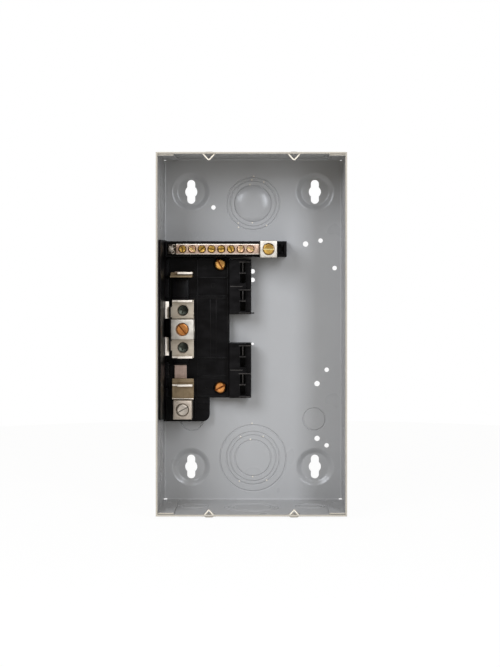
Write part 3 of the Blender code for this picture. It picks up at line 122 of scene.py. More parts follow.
class PanelBoxMetalSettings(bpy.types.PropertyGroup):
    """Colours of the bare and plated metals."""

    edge: length_property("Edge break", "Rounding of the sawn and stamped edges", 0.3)
    steps: IntProperty(name="Steps", description="Steps round a screw or a bore", default=48, min=16, max=128)
    tin: colour_property("Tin plate", "Upper bus bar", "#cbbfae")
    warm_tin: colour_property("Warm tin plate", "Lower bus bar", "#96846a")
    rose_tin: colour_property("Rose tin plate", "Neutral bar", "#c4aa98")
    lug: colour_property("Lug aluminium", "Box lugs", "#d6d0c6")
    brass: colour_property("Yellow plate", "Neutral screws", "#b8924a")
    copper: colour_property("Copper plate", "Lug screw and base screws", "#dc9656")
    zinc: colour_property("Zinc plate", "Plain screws", "#c8beb2")
    oxide: colour_property("Black oxide", "Bus bar fixing screws", "#4a4d45")


class PanelBoxStageSettings(bpy.types.PropertyGroup):
    """The studio and the camera."""

    key_power: FloatProperty(name="Key light", description="Power of the upright strip light at the right", unit="POWER", default=8.0)
    left_power: FloatProperty(name="Left light", description="Power of the soft box above at the left", unit="POWER", default=13.0)
    studio: FloatProperty(name="Studio", description="Brightness of the studio's walls", default=0.41)
    lens: FloatProperty(name="Lens", description="Camera lens in millimetres", default=90.3)
    distance: length_property("Distance", "Camera to the wall plane", 1548.4)
    camera_x: length_property("Camera X", "Camera to the right of the middle", 24.0)
    camera_z: length_property("Camera Z", "Camera above the middle", 76.0)
    floor: colour_property("Floor", "Colour of the floor", "#f4f4f4")


def settings():
    return bpy.context.scene.panel_box


class PanelBoxSettings(bpy.types.PropertyGroup):
    """All settings of the box."""

    enclosure: PointerProperty(type=PanelBoxEnclosureSettings)
    moulding: PointerProperty(type=PanelBoxMouldingSettings)
    metal: PointerProperty(type=PanelBoxMetalSettings)
    stage: PointerProperty(type=PanelBoxStageSettings)


# ---- Places ----------------------------------------------------------------------------------------
def y_at(height):
    """The Y of a plane this far in front of the back panel's inner face."""
    box = settings().enclosure
    return -(box.standoff + box.sheet + height)


def span(middle, length):
    return (middle - length / 2, middle + length / 2)


def extent(node):
    """X, Z and height of a CAD node, each as (low, high)."""
    low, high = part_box(node)
    return (low.x, high.x), (low.z, high.z), (-high.y + y_at(0), -low.y + y_at(0))


# ---- Modelling helpers -----------------------------------------------------------------------------
def finished(name, bm, material, body="panel", replaces=(), angle=32):
    """Makes a bmesh an object at the origin that rides on a CAD body."""
    mesh = bpy.data.meshes.new(name)
    bm.to_mesh(mesh)
    bm.free()
    mesh.shade_smooth()
    mesh.set_sharp_from_angle(angle=math.radians(angle))
    for one in material if isinstance(material, (list, tuple)) else (material,):
        mesh.materials.append(one)
    made = bpy.data.objects.new(name, mesh)
    bpy.context.scene.collection.objects.link(made)
    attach(made, body)
    if replaces:
        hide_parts(*replaces)
    return made


def weighted(made):
    """Keeps the flat faces flat where they meet small rounded ones."""
    even = made.modifiers.new("even_normals", "WEIGHTED_NORMAL")
    even.keep_sharp = True
    even.weight = 60
    return made


def block(bm, x, z, height, edge=0.0, segments=2):
    """A box between pairs of X, Z and height, with its edges rounded."""
    size = Vector((x[1] - x[0], height[1] - height[0], z[1] - z[0]))
    centre = Vector((sum(x) / 2, y_at(sum(height) / 2), sum(z) / 2))
    made = bmesh.ops.create_cube(bm, size=1, matrix=Matrix.Translation(centre) @ Matrix.Diagonal(size.to_4d()))
    if edge <= 0:
        return made["verts"]
    edges = list({e for v in made["verts"] for e in v.link_edges})
    done = bmesh.ops.bevel(
        bm, geom=edges, offset=min(edge, *(abs(s) * 0.3 for s in size)), offset_type="OFFSET",
        segments=segments, profile=0.5, affect="EDGES", material=-1,
    )
    return done["verts"]


AXES = {"X": Matrix.Rotation(math.pi / 2, 4, "Y"), "Y": Matrix.Rotation(math.pi / 2, 4, "X"), "Z": Matrix.Identity(4)}


def rod(bm, centre, length, radius, axis="Y", steps=48, radius_back=None):
    """A round bar along an axis, or a cone where the radius at its back differs."""
    back = radius if radius_back is None else radius_back
    made = bmesh.ops.create_cone(
        bm, cap_ends=True, segments=steps, radius1=radius, radius2=back, depth=length,
        matrix=Matrix.Translation(centre) @ AXES[axis],
    )
    return made["verts"]


def upright(bm, x, z, height, radius, steps=48):
    return rod(bm, Vector((x, y_at(sum(height) / 2), z)), height[1] - height[0], radius, "Y", steps)


def turned(bm, profile, x, z, steps=48):
    """A profile of (radius, height) points spun about a line along Y. Its ends may lie on the axis."""
    points = [bm.verts.new((x + radius, y_at(height), z)) for radius, height in profile]
    edges = [bm.edges.new(pair) for pair in zip(points, points[1:])]
    if profile[0][0] > 0:
        edges.append(bm.edges.new((points[-1], points[0])))
    made = bmesh.ops.spin(
        bm, geom=[*points, *edges], cent=(x, 0, z), axis=(0, 1, 0), angle=2 * math.pi, steps=steps,
        use_merge=True, use_duplicate=False,
    )
    near = [v for v in bm.verts if (Vector((v.co.x - x, v.co.z - z)).length <= max(p[0] for p in profile) + MM)]
    bmesh.ops.remove_doubles(bm, verts=near, dist=0.002 * MM)
    bmesh.ops.recalc_face_normals(bm, faces=bm.faces)
    return made


def ring(bm, centre, radius, axis, width, depth, steps):
    """A ring whose section is a flat hexagon. Half of it, sunk in a face, presses a V-shaped line in it."""
    middle, wide, narrow = radius - width / 2, width / 2, width / 12
    section = [(middle - wide, 0), (middle - narrow, depth), (middle + narrow, depth), (middle + wide, 0),
               (middle + narrow, -depth), (middle - narrow, -depth)]
    verts = [bm.verts.new((r, 0, h)) for r, h in section]
    edges = [bm.edges.new(pair) for pair in zip(verts, verts[1:] + verts[:1])]
    bmesh.ops.spin(
        bm, geom=[*verts, *edges], cent=(0, 0, 0), axis=(0, 0, 1), angle=2 * math.pi, steps=steps, use_merge=True,
        use_duplicate=False,
    )
    made = connected(verts[0])
    bmesh.ops.transform(bm, matrix=Matrix.Translation(centre) @ AXES[axis], verts=made)
    bmesh.ops.recalc_face_normals(bm, faces=list({f for v in made for f in v.link_faces}))


def connected(start):
    """Every vertex of the shell that a vertex belongs to."""
    found, waiting = {start}, [start]
    while waiting:
        for edge in waiting.pop().link_edges:
            for vert in edge.verts:
                if vert not in found:
                    found.add(vert)
                    waiting.append(vert)
    return list(found)


def strip(bm, points, low, high, thickness):
    """A bent strip: a line of (X, Z) points drawn out from one height to another and given a thickness."""
    line = [bm.verts.new((x, y_at(low), z)) for x, z in points]
    edges = [bm.edges.new(pair) for pair in zip(line, line[1:])]
    out = bmesh.ops.extrude_edge_only(bm, edges=edges)["geom"]
    bmesh.ops.translate(
        bm, verts=[v for v in out if isinstance(v, bmesh.types.BMVert)], vec=(0, y_at(high) - y_at(low), 0)
    )
    faces = [f for f in out if isinstance(f, bmesh.types.BMFace)]
    made = bmesh.ops.solidify(bm, geom=faces, thickness=thickness)["geom"]
    middle = [v for v in [*line, *(g for g in made if isinstance(g, bmesh.types.BMVert))]]
    around = {f for v in middle for f in v.link_faces}
    bmesh.ops.recalc_face_normals(bm, faces=list(around))


def combined(bm, other, operation="DIFFERENCE"):
    """The bmesh after a Boolean with another one, which is used up."""
    objects = []
    for part in (bm, other):
        mesh = bpy.data.meshes.new("workpiece")
        part.to_mesh(mesh)
        part.free()
        objects.append(bpy.data.objects.new("workpiece", mesh))
        bpy.context.scene.collection.objects.link(objects[-1])
    target, tool = objects
    boolean = target.modifiers.new("cut", "BOOLEAN")
    boolean.operation = operation
    boolean.solver = "EXACT"
    boolean.object = tool
    graph = bpy.context.evaluated_depsgraph_get()
    result = bpy.data.meshes.new_from_object(target.evaluated_get(graph))
    if not result.polygons:
        raise RuntimeError("a Boolean left nothing")
    made = bmesh.new()
    made.from_mesh(result)
    for one in objects:
        mesh = one.data
        bpy.data.objects.remove(one)
        bpy.data.meshes.remove(mesh)
    bpy.data.meshes.remove(result)
    return made


def add_to(bm, other):
    """Adds another bmesh's shells to this one. The other is used up."""
    mesh = bpy.data.meshes.new("shells")
    other.to_mesh(mesh)
    other.free()
    bm.from_mesh(mesh)
    bpy.data.meshes.remove(mesh)


def cutter(*builders):
    bm = bmesh.new()
    for build in builders:
        build(bm)
    return bm


# ---- Materials -------------------------------------------------------------------------------------
def add_node(tree, kind, sockets=None, **values):
    """Adds a shader node. A socket's value is set, or linked where it is another node's output."""
    made = tree.nodes.new(kind)
    for name, value in values.items():
        setattr(made, name, value)
    for name, value in (sockets or {}).items():
        if isinstance(value, bpy.types.NodeSocket):
            tree.links.new(value, made.inputs[name])
        else:
            made.inputs[name].default_value = value
    return made


def shade(name, constants):
    """A new material's node tree, its shader and its Object coordinates."""
    made = bpy.data.materials.new(name)
    made.use_nodes = True
    tree = made.node_tree
    shader = tree.nodes["Principled BSDF"]
    for socket, value in constants.items():
        shader.inputs[socket].default_value = value
    return made, tree, shader, add_node(tree, "ShaderNodeTexCoord").outputs["Object"]


def per_mm(size):
    """A noise scale whose features are this many millimetres across."""
    return 1 / (size * MM)


def blend_colour(tree, factor, first, second, mode="MIX"):
    """Sockets 6 and 7 are the colours of a colour Mix node, and its result is output 2."""
    return add_node(
        tree, "ShaderNodeMix", {0: factor, 6: first, 7: second}, data_type="RGBA", blend_type=mode
    ).outputs[2]


def baked_enamel(name, colour, rubbed):
    """Grey polyester enamel, sprayed and baked on galvanised sheet: satin, with a fine orange peel."""
    made, tree, shader, where = shade(name, {"Metallic": 0.0, "IOR": 1.5})
    # Spray coats pool unevenly over a hand's breadth, which gives soft clouds in tone and sheen.
    cloud = add_node(tree, "ShaderNodeTexNoise", {"Vector": where, "Scale": per_mm(55), "Detail": 2.0})
    tone = add_node(tree, "ShaderNodeMapRange", {"Value": cloud.outputs["Fac"], 3: 0.0, 4: 1.0})
    paler = tuple(min(1.0, c * 1.05) for c in colour[:3]) + (1.0,)
    darker = tuple(c * 0.95 for c in colour[:3]) + (1.0,)
    sprayed = blend_colour(tree, tone.outputs[0], darker, paler)
    # Where the coat is thin, over a few centimetres, the metal under it warms the tone a little.
    thin = add_node(tree, "ShaderNodeTexNoise", {"Vector": where, "Scale": per_mm(24), "Detail": 3.0})
    bare = add_node(tree, "ShaderNodeMapRange", {"Value": thin.outputs["Fac"], 3: 0.0, 4: rubbed})
    paint = blend_colour(tree, bare.outputs[0], sprayed, linear("#c9bda6"))
    tree.links.new(paint, shader.inputs["Base Color"])
    gloss = add_node(tree, "ShaderNodeMapRange", {"Value": cloud.outputs["Fac"], 1: 0.0, 2: 1.0, 3: 0.26, 4: 0.30})
    tree.links.new(gloss.outputs[0], shader.inputs["Roughness"])
    # Orange peel is about 1.5 mm from crest to crest.
    peel = add_node(tree, "ShaderNodeTexNoise", {"Vector": where, "Scale": per_mm(1.5), "Detail": 2.0})
    bump = add_node(tree, "ShaderNodeBump", {"Height": peel.outputs["Fac"], "Strength": 0.14, "Distance": 0.10 * MM})
    tree.links.new(bump.outputs["Normal"], shader.inputs["Normal"])
    return made


def moulded_plastic(name, base, mark_colour):
    """Black thermoplastic from a fine-sparked mould: satin, with paler flow marks and a fine grain."""
    made, tree, shader, where = shade(name, {"IOR": 1.49, "Specular IOR Level": 0.11})
    # Glass-filled plastic shows drawn-out pale marks where the melt flowed, some 12 mm long here.
    drawn = add_node(tree, "ShaderNodeMapping", {"Vector": where, "Scale": (1.0, 1.0, 2.6)})
    flow = add_node(tree, "ShaderNodeTexNoise", {"Vector": drawn.outputs[0], "Scale": per_mm(12), "Detail": 5.0})
    mark = add_node(tree, "ShaderNodeMapRange", {"Value": flow.outputs["Fac"], 1: 0.42, 2: 0.72, 3: 0.0, 4: 1.0})
    colour = blend_colour(tree, mark.outputs[0], tuple(base), tuple(mark_colour))
    tree.links.new(colour, shader.inputs["Base Color"])
    gloss = add_node(tree, "ShaderNodeMapRange", {"Value": flow.outputs["Fac"], 1: 0.3, 2: 0.7, 3: 0.30, 4: 0.46})
    tree.links.new(gloss.outputs[0], shader.inputs["Roughness"])
    # Spark grain is about 0.1 mm. It is drawn at 0.6 mm, as a finer one wouldn't show.
    grain = add_node(tree, "ShaderNodeTexNoise", {"Vector": where, "Scale": per_mm(0.6), "Detail": 2.0})
    bump = add_node(tree, "ShaderNodeBump", {"Height": grain.outputs["Fac"], "Strength": 0.25, "Distance": 0.06 * MM})
    tree.links.new(bump.outputs["Normal"], shader.inputs["Normal"])
    return made


def metal(name, colour, stain, roughness, along="X", streak=0.5, stain_share=0.5):
    """A bare or plated metal with drawing lines along one axis and soft stains."""
    made, tree, shader, where = shade(name, {"Metallic": 1.0})
    # Drawing and sawing lines are far finer than 0.1 mm. They are drawn half a millimetre apart.
    stretch = {"X": (0.04, 1.0, 1.0), "Z": (1.0, 1.0, 0.04), "none": (1.0, 1.0, 1.0)}[along]
    drawn = add_node(tree, "ShaderNodeMapping", {"Vector": where, "Scale": stretch})
    lines = add_node(tree, "ShaderNodeTexNoise", {"Vector": drawn.outputs[0], "Scale": per_mm(streak), "Detail": 3.0})
    # Plating and handling leave stains a few millimetres across.
    spots = add_node(tree, "ShaderNodeTexNoise", {"Vector": where, "Scale": per_mm(4.5), "Detail": 4.0})
    amount = add_node(
        tree, "ShaderNodeMapRange", {"Value": spots.outputs["Fac"], 1: 0.42, 2: 0.68, 3: 0.0, 4: stain_share}
    )
    fine = add_node(tree, "ShaderNodeMapRange", {"Value": lines.outputs["Fac"], 1: 0.3, 2: 0.7, 3: 0.86, 4: 1.0})
    stained = blend_colour(tree, amount.outputs[0], tuple(colour), linear(stain))
    lined = blend_colour(tree, 1.0, stained, fine.outputs[0], "MULTIPLY")
    tree.links.new(lined, shader.inputs["Base Color"])
    gloss = add_node(
        tree, "ShaderNodeMapRange",
        {"Value": lines.outputs["Fac"], 1: 0.3, 2: 0.7, 3: roughness - 0.06, 4: roughness + 0.08},
    )
    tree.links.new(gloss.outputs[0], shader.inputs["Roughness"])
    bump = add_node(tree, "ShaderNodeBump", {"Height": lines.outputs["Fac"], "Strength": 0.25, "Distance": 0.04 * MM})
    tree.links.new(bump.outputs["Normal"], shader.inputs["Normal"])
    return made


def finishes():
    """Every finish by its short name, made once."""
    if "finishes" not in MADE:
        shown, box, moulding = settings().metal, settings().enclosure, settings().moulding
        MADE["finishes"] = {
            "enamel": baked_enamel("baked_grey_enamel", box.enamel, 0.03),
            # The coat is thin on sheared edges, so they read paler than the walls.
            "thin_enamel": baked_enamel("thin_enamel_on_cut_edge", box.cut_edge, 0.4),
            # The pressed strips stretch the coat, so the bright zinc shows through it.
            "strip_enamel": baked_enamel("stretched_enamel", linear("#ddd6c8"), 0.4),
            "plastic": moulded_plastic("moulded_black_thermoplastic", moulding.plastic, moulding.bloom),
            # Thin ribs are drawn grey: a painted highlight for the light their edges catch, with some rubbing and dust.
            "highlit_rib_plastic": moulded_plastic("black_thermoplastic_painted_highlight", linear("#33302e"), linear("#4b4744")),
            # The deck's ribs are a little paler than the deck: a faint painted highlight along them.
            "pale_rib_plastic": moulded_plastic("black_thermoplastic_faint_painted_highlight", linear("#100f0f"), linear("#1c1a1a")),
            # Matt tin: pale and nearly neutral, with darker rubbed spots.
            "tin": metal("tin_plated_aluminium", shown.tin, "#c4bcae", 0.44, "X"),
            # Tin over copper that has been heated: tan, and a little pink at the edges.
            "warm_tin": metal("tin_plated_copper_strip", shown.warm_tin, "#6e5c46", 0.44, "Z"),
            "rose_tin": metal("tin_plated_drilled_bar", shown.rose_tin, "#94705a", 0.40, "X"),
            "rose_grey": metal("tin_plated_crossover_strip", linear("#c8b0a4"), "#9a8678", 0.46, "Z"),
            "dull_lug": metal("handled_lug_aluminium", linear("#c4b8aa"), "#a4988a", 0.50, "Z"),
            # A dark tin for the neutral bar's foot: painted shade.
            "shaded_tin": metal("tin_plate_painted_shade", linear("#4c4640"), "#2c2824", 0.44, "X"),
            # A near-white metal for painted highlight: the stabs' front edges, the tabs beside the barrier and the
            # neutral bar's long edges and ears take it.
            "bright_edge": metal("painted_highlight_metal", linear("#fff6ea"), "#e6ded2", 0.50, "X", stain_share=0.3),
            # Extruded aluminium, tumbled: a soft, almost white metal.
            "lug": metal("extruded_lug_aluminium", shown.lug, "#aaa59b", 0.50, "Z"),
            # Yellow chromate over zinc gives a warm, slightly uneven gold.
            "brass": metal("yellow_chromate_steel", shown.brass, "#8a6a34", 0.36, "none", 0.8),
            "worn_brass": metal("worn_yellow_plate", linear("#c9a27e"), "#8a6248", 0.38, "none", 0.8),
            # A pale yellow plate for the slots of the lug screw and the worn screws: painted highlight, with some
            # plating scraped by the driver.
            "pale_brass": metal("yellow_plate_painted_highlight", linear("#f0dc9c"), "#c9a850", 0.34, "none", 0.8),
            "copper": metal("copper_plated_steel", shown.copper, "#8a4a20", 0.33, "none", 0.8),
            "gold": metal("brass_plated_steel", linear("#d9a45c"), "#8a5a2c", 0.36, "none", 0.8),
            "zinc": metal("zinc_plated_steel", shown.zinc, "#9c9286", 0.48, "none", 0.8),
            # The floors and sides of the slots are drawn darker than the heads: painted shade for the shade that falls
            # in a narrow slot.
            "brass_slot": metal("yellow_plate_painted_slot_shade", linear("#8a6a2c"), "#4a3210", 0.34, "none", 0.8),
            "copper_slot": metal("copper_plate_painted_slot_shade", linear("#8f4d20"), "#4a2410", 0.34, "none", 0.8),
            "zinc_slot": metal("zinc_plate_painted_slot_shade", linear("#837c72"), "#4a453f", 0.36, "none", 0.8),
            "oxide": metal("black_oxide_steel", shown.oxide, "#23251f", 0.42, "none", 0.8),
        }
    return MADE["finishes"]


MADE = {}

# ---- Sizes of the box's own features, in millimetres -----------------------------------------------
PADS = [(x, z) for z in (127.0, -127.0) for x in (-57.15, 57.15)]
KEYHOLE = {"round": 5.6, "slot": 3.7, "half_length": 11.0}
TOP_KNOCKOUT = (0.0, 116.15)
LOWER_KNOCKOUT = (0.0, -118.95)
SMALL_KNOCKOUTS = [(-56.6, -82.95), (56.6, -82.95)]
PANEL_HOLES = [
    (-36.55, 112.55, 2.1), (48.55, 78.75, 2.5), (62.35, 81.95, 2.1), (75.35, 56.55, 2.1), (59.15, -50.15, 2.5),
    (68.05, -37.35, 2.1), (59.15, -100.75, 2.5), (67.95, -107.15, 2.1), (-0.35, 53.5, 2.1), (-0.35, 45.6, 2.1),
    (-0.35, -13.4, 1.2),
]
TOP_TIES = [
    (-1.1, 21.9), (-2.8, 17.3), (10.0, 19.85), (-13.6, -18.0), (-13.4, -22.0), (12.5, -20.3), (0.5, -15.2),
    (-0.6, -17.8), (0.7, 25.1),
]
LOWER_TIES = [(-11.4, 19.75), (9.4, 20.1), (-2.4, 17.4), (-0.3, -17.1), (-12.6, -21.2), (12.7, -20.4), (-0.9, 32.2)]
POLES = {1: 52.4, 2: 27.0, 3: -23.8, 4: -49.2}
BASE_SCREWS = {"upper": (-29.85, 60.0), "lower": (-29.85, -52.6)}
BASE_SCREW_TURNS = {"base_screw_upper": 60, "base_screw_lower": -28}
SCREW_TURNS = {
    **{f"neutral_screw_{n}": turn for n, turn in enumerate((80, 35, -40, 10, -5, 65, -60, 25), 1)},
    "neutral_lug_screw": 0, "line_lug_a_screw": -28, "line_lug_b_screw": 50,
}


def mm(*values):
    """Millimetres to metres, one value or several."""
    return values[0] * MM if len(values) == 1 else tuple(v * MM for v in values)


# ---- Enclosure -------------------------------------------------------------------------------------
def folded_sheet():
    """Five walls folded from one sheet, with rounded bends and a softened rim."""
    box = settings().enclosure
    rim = box.depth - box.sheet
    bm = bmesh.new()
    block(bm, span(0, box.width), span(0, box.height), (-box.sheet, rim))
    bmesh.ops.delete(bm, geom=[f for f in bm.faces if f.normal.y < -0.5], context="FACES_ONLY")
    back = next(f for f in bm.faces if f.normal.y > 0.5)
    bmesh.ops.bevel(
        bm, geom=list(back.edges), offset=box.bend_radius, offset_type="OFFSET", segments=6, profile=0.5,
        affect="EDGES", material=-1,
    )
    mesh = bpy.data.meshes.new("sheet")
    bm.to_mesh(mesh)
    bm.free()
    sheet = bpy.data.objects.new("sheet", mesh)
    bpy.context.scene.collection.objects.link(sheet)
    wall = sheet.modifiers.new("wall", "SOLIDIFY")
    wall.thickness = box.sheet
    wall.offset = -1
    wall.use_even_offset = True
    solid = bpy.data.meshes.new_from_object(sheet.evaluated_get(bpy.context.evaluated_depsgraph_get()))
    bm = bmesh.new()
    bm.from_mesh(solid)
    bpy.data.objects.remove(sheet)
    bpy.data.meshes.remove(mesh)
    bpy.data.meshes.remove(solid)
    front = y_at(rim) + 0.01 * MM
    lip = [
        e for e in bm.edges
        if all(v.co.y < front for v in e.verts) and e.calc_face_angle(0) > math.radians(60)
    ]
    bmesh.ops.bevel(
        bm, geom=lip, offset=0.28 * MM, offset_type="OFFSET", segments=2, profile=0.5, affect="EDGES", material=-1
    )
    return bm


def wall_knockouts():
    """(place on the wall's middle plane, axis, radii) of the knockouts in the four side walls."""
    box = settings().enclosure
    found = []
    for side in (-1, 1):
        end = side * (box.height - box.sheet) / 2
        wall = side * (box.width - box.sheet) / 2
        found.append((Vector((0, y_at(mm(44)), end)), "Z", (25.2, 22.0, 17.45)))
        for x in mm(-52.6, 52.6):
            found.append((Vector((x, y_at(mm(37)), end)), "Z", (14.1, 11.1)))
        for z in mm(116.15, -109.05):
            found.append((Vector((wall, y_at(mm(44)), z)), "X", (25.2, 22.0, 17.45)))
    return found


def shear_lines(bm):
    """The shear lines of all knockouts, pressed into both faces of the sheet."""
    box = settings().enclosure
    half = box.sheet / 2
    places = [(Vector((0, y_at(-half), mm(TOP_KNOCKOUT[1]))), "Y", (25.2, 22.0, 17.45))]
    places.append((Vector((0, y_at(-half), mm(LOWER_KNOCKOUT[1]))), "Y", (31.35, 25.2, 22.0, 17.45)))
    places += [(Vector((mm(x), y_at(-half), mm(z))), "Y", (11.1,)) for x, z in SMALL_KNOCKOUTS]
    places += wall_knockouts()
    along = {"X": Vector((half, 0, 0)), "Y": Vector((0, half, 0)), "Z": Vector((0, 0, half))}
    for centre, axis, radii in places:
        for radius in radii:
            steps = 112 if radius > 15 and axis == "Y" else 72
            for side in (-1, 1):
                ring(
                    bm, centre + 1.03 * side * along[axis], mm(radius), axis, box.groove_width, box.groove_depth, steps
                )


def corner_notches(bm):
    """The relief at each rear corner, where three folds would meet."""
    box = settings().enclosure
    for side in (-1, 1):
        for end, reach_x, reach_z, top in ((1, 1.65, 1.45, 3.0), (-1, 2.65, 1.25, 7.5)):
            outer_x, outer_z = side * (box.width / 2 + box.sheet), end * (box.height / 2 + box.sheet)
            inner_x = side * (box.width / 2 - box.sheet - mm(reach_x))
            inner_z = end * (box.height / 2 - box.sheet - mm(reach_z))
            block(bm, sorted((outer_x, inner_x)), sorted((outer_z, inner_z)), (-2 * box.sheet, mm(top)))


def boss_windows(bm):
    box = settings().enclosure
    rim = box.depth - box.sheet
    for end in (-1, 1):
        wall = end * (box.height - box.sheet) / 2
        for x in mm(-37.2, 37.2):
            block(bm, span(x, mm(9.6)), span(wall, 3 * box.sheet), (rim - mm(9.6), rim - mm(1.4)))


PAD_SECTION = (
    (11.8, 2.5), (12.5, 2.42), (13.1, 2.22), (13.8, 1.86), (14.6, 1.38), (15.5, 0.88), (16.3, 0.48), (17.0, 0.22),
    (17.6, 0.07), (18.0, 0.03),
)


def pad_profile():
    """A pressed pad from its middle out along its front and back along its rear."""
    box = settings().enclosure
    grow = box.standoff / mm(PAD_SECTION[0][1])
    front = [(mm(r), -mm(d) * grow) for r, d in PAD_SECTION]
    sunk = 0.02 * MM
    rim = box.pad_radius + 0.2 * MM
    rear = [(r, h - box.sheet + sunk) for r, h in reversed(front)]
    return [(0, -box.standoff), *front, (rim, -sunk * 2), (rim, sunk * 2 - box.sheet), *rear,
            (0, sunk - box.standoff - box.sheet)]


def cover_strips(bm):
    """The strips pressed in and out of the end walls, which grip the cover's screws."""
    box = settings().enclosure
    near = box.depth - box.sheet - mm(1.3)
    thick = box.sheet * 0.72
    for end in (-1, 1):
        wall = end * (box.height - box.sheet) / 2
        for x in mm(-37.2, 37.2):
            vee = [(-5.7, 0), (-4.9, 0.1), (-0.55, 5.0), (0, 5.25), (0.55, 5.0), (4.9, 0.1), (5.7, 0)]
            bow = [(-5.7, 0), (-4.9, 0.1), (-2.6, 1.35), (2.6, 1.35), (4.9, 0.1), (5.7, 0)]
            for points, low, high, side in ((vee, near - mm(4), near, -1), (bow, near - mm(8.3), near - mm(4.3), 1)):
                strip(bm, [(x + mm(a), wall + side * end * mm(b)) for a, b in points], low, high, thick)


def corner_tabs():
    """Tabs of the side walls, folded in and spot-welded to the end walls."""
    box = settings().enclosure
    rim = box.depth - box.sheet
    bm = bmesh.new()
    for side in (-1, 1):
        for end in (-1, 1):
            root, tip = side * (box.width / 2 - 0.75 * box.sheet), side * (box.width / 2 - box.sheet - mm(14))
            outer = end * (box.height / 2 - 1.12 * box.sheet)
            inner = end * (box.height / 2 - 2 * box.sheet)
            block(bm, sorted((root, tip)), sorted((outer, inner)), (mm(8), rim - box.sheet), mm(0.25))
    dimples = []
    for side in (-1, 1):
        for end in (-1, 1):
            for height in mm(62, 26):
                centre = Vector((side * mm(74), y_at(height), end * (box.height / 2 - 2 * box.sheet - mm(3.45))))
                dimples.append(centre)
    return combined(bm, cutter(*(
        lambda b, c=c: bmesh.ops.create_uvsphere(
            b, u_segments=24, v_segments=16, radius=mm(4), matrix=Matrix.Translation(c))
        for c in dimples
    )))


class PANELBOX_OT_enclosure(bpy.types.Operator):
    """Builds the folded sheet box with its pads, holes, knockouts and cover strips"""

    bl_idname = "panel_box.enclosure"
    bl_label = "Enclosure"

    def execute(self, context):
        box = settings().enclosure
        enamel = finishes()["enamel"]
        through = (-3 * box.sheet, 3 * box.sheet)
        holes = [mm(*hole) for hole in PANEL_HOLES]
        holes += [(*mm(*place), mm(2.5)) for place in BASE_SCREWS.values()]
        pads = [mm(*place) for place in PADS]
        sheet = combined(folded_sheet(), cutter(
            corner_notches, boss_windows, shear_lines,
            *(lambda b, h=h: upright(b, h[0], h[1], through, h[2], 28) for h in holes),
            *(lambda b, p=p: upright(b, *p, through, box.pad_radius, 96) for p in pads),
        ))
        for x, z in pads:
            pad = bmesh.new()
            turned(pad, pad_profile(), x, z, 96)
            offset = mm(KEYHOLE["half_length"] - KEYHOLE["slot"])
            rear = (-box.standoff - 3 * box.sheet, box.sheet)
            slot = bmesh.new()
            keyhole_slot(slot, x, z, offset, rear)
            pad = combined(pad, slot)
            middle = bmesh.new()
            upright(middle, x, z, rear, mm(KEYHOLE["round"]), 56)
            add_to(sheet, combined(pad, middle))
        add_to(sheet, corner_tabs())
        strips = bmesh.new()
        cover_strips(strips)
        add_to(sheet, strips)
        edge_line = y_at(box.depth - box.sheet - mm(0.32))
        for face in sheet.faces:
            middle = face.calc_center_median()
            tab_end = face.normal.y < -0.6 and middle.y < y_at(mm(76))
            face.material_index = 1 if tab_end or all(v.co.y < edge_line for v in face.verts) else 0
            in_strip = abs(abs(middle.x) - mm(37.2)) < mm(6.4) and abs(middle.z) < box.height / 2 - 1.2 * box.sheet
            if face.material_index and in_strip:
                face.material_index = 2
        both = (enamel, finishes()["thin_enamel"], finishes()["strip_enamel"])
        weighted(finished("enclosure_sheet", sheet, both, "panel", ("enclosure",), 20))
        self.slugs(enamel)
        return {"FINISHED"}

    def slugs(self, enamel):
        """The domed slug of the upper knockout and the small ties that hold the rings."""
        box = settings().enclosure
        bm = bmesh.new()
        radius, count = mm(16.6), 12
        outline = [(0, -0.2 * MM + 0.0)]
        crown = []
        for i in range(count + 1):
            r = radius * (i / count)
            crown.append((r, 0.02 * MM + box.dome_rise * (1 - (i / count) ** 3.2)))
        outline = [*crown, (radius, -0.3 * MM), (0, -0.3 * MM)]
        turned(bm, outline, 0, mm(TOP_KNOCKOUT[1]), 96)
        finished("upper_knockout_slug", bm, enamel, "panel", angle=50)
        bm = bmesh.new()
        for (x, z), ties in ((TOP_KNOCKOUT, TOP_TIES), (LOWER_KNOCKOUT, LOWER_TIES)):
            for dx, dz in ties:
                knob = bmesh.new()
                turned(
                    knob, [(0, mm(0.42)), (mm(0.35), mm(0.38)), (mm(0.62), mm(0.2)), (mm(0.75), mm(-0.1)),
                           (0, mm(-0.1))],
                    mm(x + dx), mm(z + dz), 12,
                )
                add_to(bm, knob)
        finished("knockout_ties", bm, finishes()["strip_enamel"], "panel", angle=60)


def keyhole_slot(bm, x, z, offset, height):
    """An upright slot with round ends."""
    radius = mm(KEYHOLE["slot"])
    verts = block(bm, span(x, 2 * radius), span(z, 2 * (offset + radius)), height)
    along = {e for v in verts for e in v.link_edges if abs(e.verts[0].co.y - e.verts[1].co.y) > mm(1)}
    bmesh.ops.bevel(
        bm, geom=list(along), offset=radius * 0.985, offset_type="OFFSET", segments=12, profile=0.5,
        affect="EDGES", material=-1,
    )


# ---- Interior mouldings ----------------------------------------------------------------------------
def deck():
    """The deck with its cavity, screw wells and two shallow pockets."""
    edge = settings().moulding.edge
    bm = bmesh.new()
    block(bm, mm(-81.55, -21.55), mm(-62.0, 66.5), mm(0.3, 12), edge)
    bm = combined(bm, cutter(
        lambda b: block(b, mm(-77.05, -24.05), mm(-59.5, 64.0), mm(-0.3, 9.5)),
        lambda b: block(b, mm(-50.4, -25.4), mm(31.6, 46.9), mm(11.2, 13), mm(0.5)),
        lambda b: block(b, mm(-50.4, -25.4), mm(-41.4, -26.2), mm(11.2, 13), mm(0.5)),
    ))
    return combined(bm, cutter(
        *(lambda b, p=p: upright(b, *mm(*p), mm(-1, 13), mm(2.5), 24) for p in BASE_SCREWS.values()),
    ))


